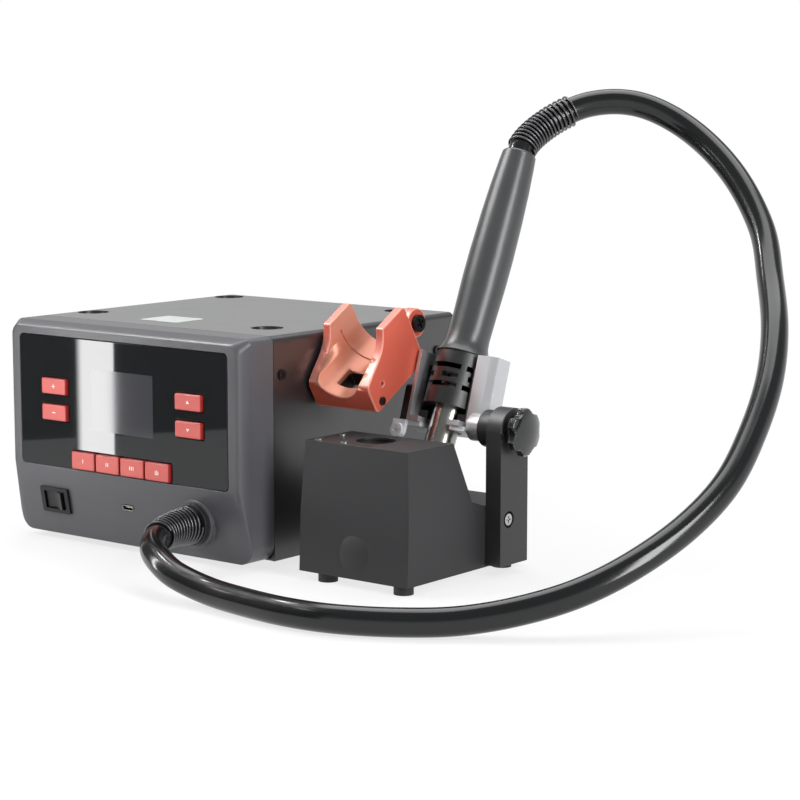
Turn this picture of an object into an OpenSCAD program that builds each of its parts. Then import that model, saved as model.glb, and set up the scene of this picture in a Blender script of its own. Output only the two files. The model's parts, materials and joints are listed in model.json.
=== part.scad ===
/* [Station case] */
// Width of the case
case_w = 188; // [180:1:210]
// Depth of the case behind its front edge
case_d = 187; // [178:1:215]
// Height of the case without its feet
case_h = 128; // [126:1:145]
// Radius of the case's top edges
case_r = 4; // [2:0.5:6]
// Radius of the front frame's lower corners
chin_r = 10; // [6:0.5:12]
// Height of the case feet
foot_h = 4; // [3:0.5:8]
// Diameter of the case feet
foot_d = 16; // [12:1:22]
// Distance from the case sides to the foot centres
foot_inset = 30; // [16:1:36]
// Thickness of the folded sheet
sheet_t = 1.5; // [1:0.1:2]
// Assembly gap between folded sheets
sheet_gap = 0.2; // [0.1:0.05:0.4]
// Diameter of the round dimples in the cover's top
dimple_d = 19; // [12:1:24]
// Depth of the dimples
dimple_depth = 1.6; // [0.8:0.1:3]
// Distance of the cover screws below the case's top
side_screw_drop = 22; // [18:1:30]

/* [Front frame] */
// Depth of the moulded front frame
bezel_d = 20; // [16:1:26]
// Wall thickness of the front frame
bezel_wall = 3; // [2.4:0.1:3.6]
// How far the control face stands proud of the frame's edge
face_proud = 7; // [6:0.25:8]
// Height where the sloped lower face starts above the case bottom
chin_h = 4; // [3:0.5:8]
// Height of the control face's lower edge above the case bottom
panel_low = 42; // [40:0.5:44]
// Side margin of the glass
glass_margin = 10.5; // [9:0.5:13]
// Gap between the glass and the top of the case
glass_top = 8; // [7:0.5:10]
// Thickness of the front glass
glass_t = 2; // [1.6:0.1:2.4]
// Corner radius of the glass
glass_r = 3; // [1:0.5:5]
// Width of the display module
display_w = 56; // [46:1:62]
// Height of the display module
display_h = 42; // [34:1:44]

/* [Keys] */
// Width of a side key
key_w = 20.4; // [16:0.2:22]
// Height of a side key
key_h = 9.6; // [8:0.2:11]
// How far the keys stand proud of the glass
key_proud = 2; // [1:0.1:3]
// Travel of a key
key_travel = 0.8; // [0.4:0.1:1]
// Distance from the glass's left edge to the left keys
left_key_x = 30; // [24:0.5:32]
// Distance from the glass's right edge to the right keys
right_key_x = 28.5; // [24:0.5:32]
// Height of the side keys' middle above the glass's middle
side_key_z = 1.5; // [0:0.5:4]
// Step between the two side keys
side_key_step = 15.6; // [13:0.2:18]
// Pitch of the keys in the bottom row
row_pitch = 20; // [16:0.2:22]
// Height of a key in the bottom row
row_key_h = 10.7; // [8:0.1:12]

/* [Power switch and sockets] */
// Distance of the power switch from the case's left side
switch_x = 35.5; // [30:0.5:42]
// Height of the power switch above the case bottom
switch_z = 21.5; // [20:0.5:24]
// Width of the switch's rim
switch_w = 23; // [21:0.5:25]
// Height of the switch's rim
switch_h = 15.7; // [14:0.1:17]
// Rocker angle each way
rocker_a = 10; // [6:1:12]
// Distance of the small socket from the case's left side
socket_x = 95.5; // [85:0.5:105]
// Distance of the hose outlet from the case's right side
hose_in = 38; // [36:0.5:42]
// Height of the hose outlet above the table
hose_z = 25; // [24:0.5:27]

/* [Hose] */
// Outer diameter of the hose
hose_d = 15; // [12:0.5:15]
// Wire diameter of the coil springs
wire_d = 1.4; // [0.8:0.1:1.5]
// Turns of the front spring
front_turns = 14; // [8:1:16]
// Turns of the handle spring
handle_turns = 15; // [8:1:17]

/* [Blower] */
// Outer radius of the impeller
impeller_r = 38; // [32:0.5:40]
// Width of the impeller
impeller_w = 18; // [14:0.5:20]
// Number of impeller blades
blade_count = 24; // [12:1:30]
// Diameter of the blower shaft
shaft_d = 4; // [3:0.5:6]
// Outer diameter of the blower motor
motor_d = 34; // [28:1:40]

/* [Stand] */
// Gap between the case and the stand
stand_gap = 28.5; // [26:0.5:40]
// Width of the stand's base
stand_w = 76; // [72:1:84]
// Length of the stand's base
stand_d = 109; // [104:1:120]
// Distance of the stand's front behind the case's front edge
stand_y = 8; // [4:1:14]
// Height of the stand's raised front
stand_h = 78; // [70:1:80]
// Height of the stand's rear deck
deck_h = 40; // [34:1:42]
// Wall thickness of the cast base
cast_t = 3; // [2:0.25:4]
// Height of the stand's feet
stand_foot_h = 5; // [3:0.5:7]
// Diameter of the round cap in the stand's front
cap_d = 22.5; // [16:0.5:28]
// Diameter of the nozzle well in the stand's top
well_d = 24; // [18:0.5:26]
// Depth of the nozzle well
well_depth = 18; // [8:0.5:24]
// Thickness of the support arm
arm_t = 10.5; // [8:0.5:12]
// Width of the support arm
arm_w = 26; // [22:1:28]

/* [Handle cradle] */
// Height of the cradle's pivot above the table
pivot_z = 81; // [80:0.5:90]
// Lean of the cradle at rest
cradle_lean = 18; // [16:0.5:20]
// Height of the cradle's channel
cradle_h = 40; // [36:0.5:42]
// Thickness of the channel's left wall
cradle_wall = 2; // [1.6:0.1:2.5]
// Width of the channel's solid right side
block_t = 12.8; // [10:0.2:14]
// Thickness of the rubber liner
liner_t = 1; // [0.6:0.1:1.2]
// Diameter of the clamp stud
stud_d = 6; // [5:0.5:8]
// Radial clearance of the shafts in their bores
shaft_gap = 0.05; // [0.03:0.01:0.08]
// Diameter across the star knob's lobes
knob_d = 27; // [22:0.5:32]
// Thickness of the star knob's head
knob_t = 7.5; // [6:0.5:10]
// Number of lobes on the star knob
knob_lobes = 6; // [5:1:8]

/* [Handle] */
// Lean of the handle at rest
handle_lean = 25.3; // [24:0.1:26]
// Distance from the pivot to the handle's rear end
handle_l = 166; // [160:1:172]
// Outer diameter of the steel barrel
barrel_d = 17.5; // [14:0.5:18.5]
// Length of the barrel below the pivot
nose_l = 36; // [20:1:37]
// Radius of the slotted collar
collar_r = 15.5; // [14:0.1:15.6]
// Length of the slotted collar
collar_l = 32; // [30:1:34]
// Width of the cooling slots
slot_w = 3; // [1.6:0.1:3.2]

/* [Red holder] */
// Width of the red holder
holder_w = 44; // [40:0.5:46]
// Length of the red holder along its channel
holder_l = 51; // [46:0.5:56]
// Radius of the holder's channel
channel_r = 16.5; // [14:0.5:17.5]
// Thickness of the web under the channel
holder_web = 9.5; // [7:0.5:11]
// Lean of the holder's channel at rest
holder_lean = 31; // [26:1:36]
// Diameter of the holder's pivot screw
holder_pin_d = 5; // [4:0.5:6]
// Thickness of the boss between the case and the holder
boss_t = 2; // [1.5:0.25:4]

/* [Hidden] */
$fn = 48;
hull_fn = 32;
eps = 0.01;

// Colours
dark_grey = [0.22, 0.22, 0.24];
mid_grey = [0.33, 0.33, 0.35];
black = [0.07, 0.07, 0.08];
coral = [0.86, 0.33, 0.29];
red_anodised = [0.78, 0.30, 0.22];
steel = [0.72, 0.70, 0.67];
bright = [0.82, 0.83, 0.84];
board_green = [0.08, 0.30, 0.18];

// Heights and depths of the case
low = foot_h;
top = low + case_h;
panel_x = case_w / 2;
chin_z = low + chin_h;
panel_z = low + panel_low;
face_y = -face_proud;
side_screw_z = top - side_screw_drop;
glass_z = panel_z + 0.5;
glass_top_z = top - glass_top;
glass_back = face_y + glass_t;
ledge_y = glass_back + sheet_gap;
ledge_t = 3;
pocket_y = ledge_y + ledge_t;
shoulder_y = bezel_wall;
board_t = 1.6;
board_back = shoulder_y + board_t;
slope_a = atan(face_proud / (panel_z - chin_z));
slope_wall = 2.8;
lip_d = 12;
lip_low = low + 26;
lip_x = sheet_t + sheet_gap;
lip_t = 1.3;
cover_front = bezel_d;

// Keys
key_face = face_y - key_proud;
key_flange = 1;
key_flange_t = 1.2;
key_slot = 0.4;
row_gap = 0.8;
row_z = glass_z + key_slot + row_key_h / 2;
row_left = panel_x - 2 * row_pitch + 0.2;
side_mid_z = (glass_z + glass_top_z) / 2 + side_key_z;
side_low_z = side_mid_z - side_key_step / 2;
side_high_z = side_mid_z + side_key_step / 2;
left_col = glass_margin + left_key_x;
right_col = case_w - glass_margin - right_key_x;
key_flange_y = glass_back + 0.3;
key_stem_end = key_flange_y + key_flange_t + 0.9;
tact_top = key_stem_end + key_travel + 0.3;

// Hose outlet and springs
hose_x = case_w - hose_in;
gland_face = face_y - 2;
gland_seat = gland_face + 3;
gland_body_r = 9.8;
gland_boss_r = 13.6;
gland_flange_r = 12;
gland_bore_r = 6.2;
gland_nut_y = bezel_wall;
gland_nut_t = 5;
gland_end = gland_nut_y + gland_nut_t + 6;
gland_stub_r = 8.4;
hose_gap = 0.3;

// Stand
stand_x = case_w + stand_gap;
stand_right = stand_x + stand_w;
stand_low = stand_foot_h;
stand_back = stand_y + stand_d;
stand_mid = stand_x + stand_w / 2;
pivot_x = stand_mid;
pivot_y = stand_y + 83;
arm_x = stand_right;
arm_right = arm_x + arm_t;

// Cradle, in a frame at the pivot with Y across the channel and Z along it
channel_in = collar_r + 0.3 + liner_t;
cradle_left = channel_in + cradle_wall;
block_out = channel_in + block_t;
web_in = 21.5;
web_t = 3.5;
cradle_floor = 1;
cradle_under = -2;
foot_under = -4.5;
barrel_notch = 21;
ledge_top = 5.6;
washer_end = arm_x - pivot_x - 0.3;

// Handle, in a frame at the pivot with Z along the handle
collar_low = 8;
collar_high = collar_low + collar_l;
grip_end_r = 9.6;

// Red holder, in a frame at its lower front corner with Y along its channel
holder_x = case_w + boss_t;
holder_mid = holder_x + holder_w / 2;
holder_y = 55.5;
holder_z = top - 43.6;
holder_top = 38.2;
holder_axis = holder_web + channel_r;
holder_pin_y = 26;
holder_pin_z = 20.2;
holder_pin_in = 4.3;
holder_eye_y = holder_l + 7.3;
holder_eye_z = 20.5;

// Centre of the whole part on the table
inlet_back = case_d + 3;
knob_face = arm_right + 0.3 + 3.2 + knob_t;
screw_head = 1.2;
centre_x = (knob_face - screw_head) / 2;
centre_y = (inlet_back + key_face) / 2;

// Points along the middle of the hose, from the station to the handle
hose_end = [pivot_x, pivot_y + handle_l * sin(handle_lean), pivot_z + handle_l * cos(handle_lean)];
hose_lay = hose_d / 2 + 0.5;
hose_route = concat(
    [for (p = [
        [0, gland_seat, 0], [1, -24, 0], [7, -42, -1], [18, -57, -3], [32, -67, -6]
    ]) [hose_x + p[0], p[1], hose_z + p[2]]],
    [for (p = [[50, -73, 6], [75, -74, 1], [104, -78, 0], [135, -81, 0]])
        [hose_x + p[0], p[1], hose_lay + p[2]]],
    [for (p = [
        [60, -77, 8], [89, -63, 8], [113, -45, 9], [136, -26, 14], [156, -4, 22], [172, 21, 34],
        [184, 51, 50], [190, 80, 69], [188, 109, 92], [182, 136, 116], [170, 162, 140],
        [151, 190, 164]
    ]) [pivot_x + p[0], p[1], p[2]]],
    [for (d = [
        [131, 52, -40], [103, 66, -10], [71, 70, 14], [43, 60, 28], [20, 42, 28], [4, 20, 16],
        [0, 0, 0]
    ]) hose_end + d]
);
hose_lead_in = [hose_x, 12, hose_z];
hose_lead_out = hose_end + [8, -10, -22];
hose_steps = 3;

// Shapes along the axes
module prism_x(x0, x1) {
    translate([x0, 0, 0]) rotate([90, 0, 90]) linear_extrude(x1 - x0) children();
}

module prism_y(y0, y1) {
    translate([0, y1, 0]) rotate([90, 0, 0]) linear_extrude(y1 - y0) children();
}

module prism_z(z0, z1) {
    translate([0, 0, z0]) linear_extrude(z1 - z0) children();
}

module rod_x(x0, x1, y, z, r, sides = $fn) {
    translate([x0, y, z]) rotate([0, 90, 0]) cylinder(h = x1 - x0, r = r, $fn = sides);
}

module rod_y(y0, y1, x, z, r, sides = $fn) {
    translate([x, y0, z]) rotate([-90, 0, 0]) cylinder(h = y1 - y0, r = r, $fn = sides);
}

module rod_z(z0, z1, x, y, r, sides = $fn) {
    translate([x, y, z0]) cylinder(h = z1 - z0, r = r, $fn = sides);
}

module block(x0, x1, y0, y1, z0, z1) {
    translate([x0, y0, z0]) cube([x1 - x0, y1 - y0, z1 - z0]);
}

// Rectangle with one radius for its two upper corners and one for its two lower corners
module rounded(x0, x1, z0, z1, r_top, r_low, sides = $fn) {
    translate([x0, z0 + r_low]) square([x1 - x0, z1 - z0 - r_low - r_top]);
    translate([x0 + r_low, z0]) square([x1 - x0 - 2 * r_low, z1 - z0 - r_top]);
    translate([x0 + r_top, z0 + r_low]) square([x1 - x0 - 2 * r_top, z1 - z0 - r_low]);
    for (x = [x0 + r_low, x1 - r_low]) translate([x, z0 + r_low]) circle(r_low, $fn = sides);
    for (x = [x0 + r_top, x1 - r_top]) translate([x, z1 - r_top]) circle(r_top, $fn = sides);
}

// Outline of the case, drawn in by an inset
module case_outline(inset, z_low = low, sides = $fn) {
    rounded(inset, case_w - inset, z_low + inset, top - inset,
        max(case_r - inset, 0.5), max(chin_r - inset, 0.5), sides);
}

// Moves the children from the bench frame to the part's own frame
module placed() {
    translate([-centre_x, -centre_y, 0]) children();
}

// Depth of the sloped lower face at a height
function slope_y(z) = -face_proud * (z - chin_z) / (panel_z - chin_z);

module on_slope(x, z) {
    translate([x, slope_y(z), z]) rotate([slope_a, 0, 0]) children();
}

module in_cradle() {
    translate([pivot_x, pivot_y, pivot_z]) rotate([-cradle_lean, 0, 0]) children();
}

module in_handle() {
    translate([pivot_x, pivot_y, pivot_z]) rotate([-handle_lean, 0, 0]) children();
}

module in_holder() {
    translate([0, holder_y, holder_z]) rotate([holder_lean, 0, 0]) children();
}

// Screw with its head's underside at the origin, the shank running down
module screw(head_r, head_h, shank_r, shank_l) {
    difference() {
        union() {
            cylinder(h = head_h, r = head_r);
            translate([0, 0, -shank_l]) cylinder(h = shank_l + eps, r = shank_r);
        }
        for (a = [0, 90]) {
            rotate([0, 0, a]) translate([-head_r * 0.6, -head_r * 0.12, head_h * 0.45])
                cube([head_r * 1.2, head_r * 0.24, head_h]);
        }
    }
}

// Curve through the hose's points
function unit(v) = v / norm(v);
last_point = len(hose_route) - 1;
function hose_point(i) = i < 0 ? hose_lead_in : i > last_point ? hose_lead_out : hose_route[i];
function spline(a, b, c, d, t) =
    ((2 * b) + (c - a) * t + (2 * a - 5 * b + 4 * c - d) * t * t
    + (3 * b - a - 3 * c + d) * t * t * t) / 2;
function hose_at(u) =
    let (i = min(floor(u), last_point - 1), t = u - i)
    spline(hose_point(i - 1), hose_point(i), hose_point(i + 1), hose_point(i + 2), t);
function hose_dir(u) =
    unit(hose_at(min(u + 0.01, last_point)) - hose_at(max(u - 0.01, 0)));
side_hint = [0, 0.8, -0.6];
function ring_side(d) = unit(cross(d, side_hint));
function ring_up(d) = cross(ring_side(d), d);

// Tube swept through rings of points
module swept(rings, sides) {
    count = len(rings);
    points = [for (ring = rings) each ring];
    walls = [for (i = [0:count - 2], j = [0:sides - 1])
        let (k = (j + 1) % sides)
        each [[i * sides + j, i * sides + k, (i + 1) * sides + k],
              [i * sides + j, (i + 1) * sides + k, (i + 1) * sides + j]]];
    first = [[for (j = [0:sides - 1]) sides - 1 - j]];
    final = [[for (j = [0:sides - 1]) (count - 1) * sides + j]];
    polyhedron(points = points, faces = concat(first, walls, final));
}

function hose_ring(p, d, r, sides) =
    [for (j = [0:sides - 1]) let (a = 360 * j / sides)
        p + r * (cos(a) * ring_side(d) + sin(a) * ring_up(d))];

// Point on a coil round the hose, where f runs from 0 to 1 along the coil
function coil_point(f, u0, u1, r0, r1, turns) =
    let (u = u0 + (u1 - u0) * f, d = hose_dir(u), a = 360 * turns * f,
        r = r0 + (r1 - r0) * f)
    hose_at(u) + r * (cos(a) * ring_side(d) + sin(a) * ring_up(d));

module hose_coil(u0, u1, r0, r1, turns, steps = 11, sides = 5) {
    total = turns * steps;
    rings = [for (i = [0:total])
        let (f = i / total, g = 0.5 / total,
            p = coil_point(f, u0, u1, r0, r1, turns),
            d = unit(coil_point(f + g, u0, u1, r0, r1, turns)
                - coil_point(f - g, u0, u1, r0, r1, turns)),
            out = unit(p - hose_at(u0 + (u1 - u0) * f)),
            side = unit(cross(d, out)))
        [for (j = [0:sides - 1]) let (a = 360 * j / sides)
            p + wire_d / 2 * (cos(a) * side + sin(a) * cross(side, d))]];
    swept(rings, sides);
}

module hose() {
    rings = [for (i = [0:last_point * hose_steps])
        let (u = i / hose_steps, end = i == last_point * hose_steps,
            d = end ? -[0, sin(handle_lean), cos(handle_lean)] : i == 0 ? [0, -1, 0] : hose_dir(u))
        hose_ring(hose_at(u), d, hose_d / 2, 10)];
    color(black) placed() swept(rings, 10);
}

front_coil_start = 0.24;
front_coil_end = 1.9;

module front_spring() {
    color(black) placed()
        hose_coil(front_coil_start, front_coil_end, 10.2, 8.7, front_turns);
}

module handle_spring() {
    start = last_point - 0.13;
    inner_r = (hose_d + wire_d) / 2 + 0.25;
    color(dark_grey) placed() hose_coil(start, start - 1.5, inner_r, inner_r + 0.2, handle_turns);
}

// Station case
tray_top = low + sheet_t;
tray_x = lip_x;
tray_front = bezel_d + 0.3;
panel_back = case_d;
panel_front = case_d - sheet_t;
post_h = 5;
board_z = tray_top + post_h;
main_board_x = [20, case_w - hose_in - 32];
main_board_y = [62, case_d - 19];
post_inset = 5;

module board_posts(r, z0, z1) {
    for (x = [main_board_x[0] + post_inset, main_board_x[1] - post_inset],
         y = [main_board_y[0] + post_inset, main_board_y[1] - post_inset])
        rod_z(z0, z1, x, y, r);
}

foot_xs = [foot_inset, case_w - foot_inset];
foot_ys = [32, case_d - 30];

module base_tray() {
    flange_h = 14;
    color(mid_grey) placed() {
        difference() {
            union() {
                block(tray_x, case_w - tray_x, tray_front, panel_front - sheet_gap, low, tray_top);
                for (x = [tray_x, case_w - tray_x - sheet_t])
                    block(x, x + sheet_t, tray_front, panel_front - sheet_gap, low, low + flange_h);
                board_posts(3, tray_top - eps, board_z);
            }
            board_posts(1.3, low - 1, board_z + 1);
            for (x = foot_xs, y = foot_ys) rod_z(low - 1, tray_top + 1, x, y, 2);
        }
    }
}

vent_count = 9;
vent_pitch = 7;
vent_w = 3;
side_vent_y = 84;
side_vent_z = [36, 84];
rear_vent_x = 88;
rear_vent_z = [48, 96];
front_screw_y = cover_front + 6.7;
rear_screw_y = case_d - 17;

module top_cover() {
    dimple_x = [13.5, case_w - 32];
    dimple_y = [51, case_d - 13];
    color(mid_grey) placed() difference() {
        union() {
            prism_y(cover_front, case_d) difference() {
                rounded(0, case_w, low, top, case_r, 0.5);
                rounded(sheet_t, case_w - sheet_t, low - 5, top - sheet_t, case_r - sheet_t + 0.2, 0.5);
            }
            for (x = dimple_x, y = dimple_y)
                rod_z(top - dimple_depth - sheet_t, top - eps, x, y, dimple_d / 2 + 0.8);
        }
        for (x = dimple_x, y = dimple_y) rod_z(top - dimple_depth, top + 1, x, y, dimple_d / 2);
        for (x = [-1, case_w - 5], y = [front_screw_y, rear_screw_y])
            rod_x(x, x + 6, y, side_screw_z, 1.7);
        for (i = [0:vent_count - 1]) {
            y = side_vent_y + i * vent_pitch;
            block(-1, sheet_t + 1, y, y + vent_w, side_vent_z[0], side_vent_z[1]);
        }
        rod_x(case_w - 4, case_w + 1, holder_pin_place[0], holder_pin_place[1], holder_pin_d / 2 + 0.1);
    }
}

inlet_x = 44;
inlet_z = low + 34;
inlet_w = 34;
inlet_h = 42;
inlet_body_w = 28;
inlet_body_h = 36;

module rear_panel() {
    tab_z = [side_screw_z - 7, side_screw_z + 7];
    color(mid_grey) placed() difference() {
        union() {
            prism_y(panel_front, panel_back)
                rounded(tray_x, case_w - tray_x, low, top - sheet_t - sheet_gap,
                    case_r - sheet_t + 0.2, 0.5);
            for (x = [tray_x, case_w - tray_x - sheet_t])
                block(x, x + sheet_t, rear_screw_y - 7, panel_back - eps, tab_z[0], tab_z[1]);
        }
        block(inlet_x - inlet_body_w / 2 - 0.2, inlet_x + inlet_body_w / 2 + 0.2, panel_front - 1,
            panel_back + 1, inlet_z - inlet_body_h / 2 - 0.2, inlet_z + inlet_body_h / 2 + 0.2);
        for (i = [0:vent_count + 1]) {
            x = rear_vent_x + i * vent_pitch;
            block(x, x + vent_w, panel_front - 1, panel_back + 1, rear_vent_z[0], rear_vent_z[1]);
        }
        for (x = [tray_x - 1, case_w - tray_x - sheet_t - 1])
            rod_x(x, x + sheet_t + 2, rear_screw_y, side_screw_z, 1.5);
    }
}

module bezel_skin() {
    hull() {
        prism_y(1.4, 1.5) case_outline(0, low, hull_fn);
        prism_y(0, 0.1) case_outline(0.6, chin_z - 0.6, hull_fn);
        for (p = [[2.4, 2.2, 2], [1, 2.9, 0.8], [0.35, 3.6, 0.3], [0, 4.6, 0]])
            prism_y(face_y + p[0], face_y + p[0] + 0.05)
                rounded(p[1], case_w - p[1], panel_z - p[2], top - p[1] + 0.2, 6, 2, hull_fn);
    }
}

socket_z = low + 23.5;
socket_w = 8.9;
socket_h = 3.2;

module slot_shape(w, h) {
    square([w - h, h], center = true);
    for (x = [-1, 1]) translate([x * (w - h) / 2, 0]) circle(h / 2);
}

row_slot_x = [row_left - 0.1, row_left + 4 * row_pitch + 0.1];
row_slot_low = row_z - row_key_h / 2 - key_flange - 0.4;
row_slot_high = row_z + row_key_h / 2 + key_flange + 0.4;

module front_bezel() {
    window_z = [row_slot_high - 2, glass_top_z - 4];
    color(mid_grey) placed() difference() {
        union() {
            difference() {
                union() {
                    bezel_skin();
                    prism_y(1.5 - eps, bezel_d) case_outline(0);
                }
                prism_y(shoulder_y, bezel_d + 1) case_outline(bezel_wall);
                prism_y(pocket_y, shoulder_y + eps)
                    rounded(9, case_w - 9, panel_z - 2, top - 11, 2, 2);
                prism_x(9, case_w - 9) polygon([
                    [shoulder_y + eps, chin_z + 4],
                    [shoulder_y + eps, panel_z - 5],
                    [slope_y(panel_z - 5) + slope_wall, panel_z - 5],
                    [slope_y(chin_z + 4) + slope_wall, chin_z + 4]
                ]);
            }
            prism_y(bezel_d - 1, bezel_d + lip_d) intersection() {
                difference() {
                    case_outline(lip_x);
                    case_outline(bezel_wall);
                }
                translate([0, lip_low]) square([case_w, case_h]);
            }
            for (x = [lip_x, case_w - lip_x - 6]) rod_x(x, x + 6, front_screw_y, side_screw_z, 4);
            rod_y(gland_seat, shoulder_y, hose_x, hose_z, gland_boss_r);
        }
        prism_y(face_y - 1, ledge_y)
            rounded(glass_margin - 0.2, case_w - glass_margin + 0.2, glass_z - 0.2, glass_top_z + 0.2,
                glass_r, glass_r);
        prism_y(ledge_y - eps, pocket_y + eps) {
            translate([14, window_z[0]]) square([case_w - 28, window_z[1] - window_z[0]]);
            translate([row_slot_x[0], row_slot_low])
                square([row_slot_x[1] - row_slot_x[0], row_slot_high - row_slot_low]);
        }
        rod_y(gland_face, shoulder_y + 1, hose_x, hose_z, gland_body_r + 0.2);
        on_slope(switch_x, low + switch_z)
            block(-(switch_w - 4) / 2 - 0.2, (switch_w - 4) / 2 + 0.2, -3, 14,
                -(switch_h - 3) / 2 - 0.2, (switch_h - 3) / 2 + 0.2);
        on_slope(socket_x, socket_z) prism_y(-2, 8) slot_shape(socket_w + 0.4, socket_h + 0.4);
        for (x = [0, case_w - 12]) rod_x(x, x + 12, front_screw_y, side_screw_z, 1.45);
    }
}

module front_glass() {
    color(black) placed() difference() {
        prism_y(face_y, glass_back)
            rounded(glass_margin, case_w - glass_margin, glass_z, glass_top_z, glass_r, glass_r);
        block(row_slot_x[0], row_slot_x[1], face_y - 1, glass_back + 1, glass_z - 1,
            row_z + row_key_h / 2 + key_slot);
        for (x = [left_col, right_col], z = [side_low_z, side_high_z])
            block(x - key_w / 2 - key_slot, x + key_w / 2 + key_slot, face_y - 1, glass_back + 1,
                z - key_h / 2 - key_slot, z + key_h / 2 + key_slot);
    }
}

module display_module() {
    z = side_mid_z + 2.6;
    leg_x = display_w / 2 - 3;
    leg_z = display_h / 2 - 3;
    back = ledge_y + 0.2 + 4;
    color(dark_grey) placed() {
        block(panel_x - display_w / 2, panel_x + display_w / 2, ledge_y + 0.2, back,
            z - display_h / 2, z + display_h / 2);
        for (x = [-leg_x, leg_x], dz = [-leg_z, leg_z])
            rod_y(back - eps, shoulder_y, panel_x + x, z + dz, 1.5);
    }
}

// Key cap with a stepped edge, its flange behind the glass and its stem
module key(x, z, w, h, flange_x) {
    edge = 0.4;
    color(coral) placed() {
        prism_y(key_face, key_face + edge + eps)
            rounded(x - w / 2 + edge, x + w / 2 - edge, z - h / 2 + edge, z + h / 2 - edge, 0.8, 0.8);
        prism_y(key_face + edge, key_flange_y + eps)
            rounded(x - w / 2, x + w / 2, z - h / 2, z + h / 2, 1, 1);
        block(x - w / 2 - flange_x, x + w / 2 + flange_x, key_flange_y, key_flange_y + key_flange_t,
            z - h / 2 - key_flange, z + h / 2 + key_flange);
        rod_y(key_flange_y + key_flange_t - eps, key_stem_end, x, z, 2);
    }
}

function row_x(i) = row_left + row_pitch * (i + 0.5);

module side_key(x, z) {
    key(x, z, key_w, key_h, key_flange);
}

module row_key(i) {
    key(row_x(i), row_z, row_pitch - row_gap, row_key_h, 0);
}

module plus_key() { side_key(left_col, side_high_z); }
module minus_key() { side_key(left_col, side_low_z); }
module upper_right_key() { side_key(right_col, side_high_z); }
module lower_right_key() { side_key(right_col, side_low_z); }
module memory_key_1() { row_key(0); }
module memory_key_2() { row_key(1); }
module memory_key_3() { row_key(2); }
module standby_key() { row_key(3); }

module key_board() {
    places = concat(
        [for (x = [left_col, right_col], z = [side_low_z, side_high_z]) [x, z]],
        [for (i = [0:3]) [row_x(i), row_z]]
    );
    color(board_green) placed() {
        block(6, case_w - 6, shoulder_y, board_back, panel_z - 3.5, glass_top_z);
        for (p = places) {
            block(p[0] - 3, p[0] + 3, tact_top + 1.2, shoulder_y + eps, p[1] - 3, p[1] + 3);
            rod_y(tact_top, tact_top + 1.2 + eps, p[0], p[1], 1.75);
        }
        block(panel_x - 12, panel_x + 12, board_back - eps, board_back + 6, panel_z + 8, panel_z + 14);
    }
}

// Power switch, in a frame on the sloped face with Y running into the case
rocker_half = 7.4;
rocker_half_h = 5.2;
rocker_pivot = 2;
switch_half_h = (switch_h - 3) / 2;
switch_half_w = (switch_w - 4) / 2;
trunnion_r = 1.2;

module switch_housing() {
    color(black) placed() on_slope(switch_x, low + switch_z) difference() {
        union() {
            prism_y(-1.6, 0) rounded(-switch_w / 2, switch_w / 2, -switch_h / 2, switch_h / 2, 1, 1);
            block(-switch_half_w, switch_half_w, -eps, 14, -switch_half_h, switch_half_h);
            for (x = [-5, 5]) block(x - 0.4, x + 0.4, 14 - eps, 21, -2.4, 2.4);
        }
        block(-rocker_half - 1, rocker_half + 1, -3, 9, -rocker_half_h - 0.3, rocker_half_h + 0.3);
        rod_z(-switch_half_h - 1, switch_half_h + 1, 0, rocker_pivot, trunnion_r + shaft_gap);
    }
}

module rocker() {
    color(black) placed() on_slope(switch_x, low + switch_z)
        translate([0, rocker_pivot, 0]) rotate([0, 0, -rocker_a]) translate([0, -rocker_pivot, 0]) {
            prism_z(-rocker_half_h, rocker_half_h) polygon([
                [-rocker_half, -1.8], [0, -0.4], [rocker_half, -1.8],
                [rocker_half - 0.4, 1.5], [2.5, 6.3], [-2.5, 6.3], [-rocker_half + 0.4, 1.5]
            ]);
            rod_z(-switch_half_h + 0.1, switch_half_h - 0.1, 0, rocker_pivot, trunnion_r);
        }
}

module usb_socket() {
    color(steel) placed() on_slope(socket_x, socket_z) {
        difference() {
            prism_y(-0.2, 7.4) slot_shape(socket_w, socket_h);
            prism_y(-1, 6.4) slot_shape(socket_w - 0.7, socket_h - 0.7);
        }
        block(-3.2, 3.2, 1.2, 7, -0.35, 0.35);
    }
}

module hose_gland() {
    color(black) placed() difference() {
        union() {
            rod_y(gland_face, gland_seat, hose_x, hose_z, gland_flange_r);
            rod_y(gland_seat - eps, gland_nut_y + gland_nut_t, hose_x, hose_z, gland_body_r);
            rod_y(gland_nut_y, gland_nut_y + gland_nut_t, hose_x, hose_z, 13.5, 6);
            rod_y(gland_nut_y + gland_nut_t - eps, gland_end, hose_x, hose_z, gland_stub_r);
        }
        rod_y(gland_face - 1, gland_seat, hose_x, hose_z, hose_d / 2 + hose_gap);
        rod_y(gland_face, gland_end + 1, hose_x, hose_z, gland_bore_r);
    }
}

// Blower, turning about an axis along X
blower_y = 108;
blower_z = 62;
scroll_gap = 2.5;
scroll_growth = 9;
scroll_wall = 2;
scroll_out_y = blower_y - 52;
scroll_x = [hose_x - 13, hose_x + 13];
intake_r = 25;

function scroll_r(a) = impeller_r + scroll_gap + scroll_growth * (225 - a) / 315;

module scroll_outline(wall) {
    arc = [for (a = [225:-7.5:-90])
        [blower_y, blower_z] + (scroll_r(a) + wall) * [cos(a), sin(a)]];
    low_z = blower_z - scroll_r(-90) - wall;
    high_z = blower_z - scroll_r(225) * sin(45) + wall;
    polygon(concat(arc, [[scroll_out_y, low_z], [scroll_out_y, high_z]]));
}

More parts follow.
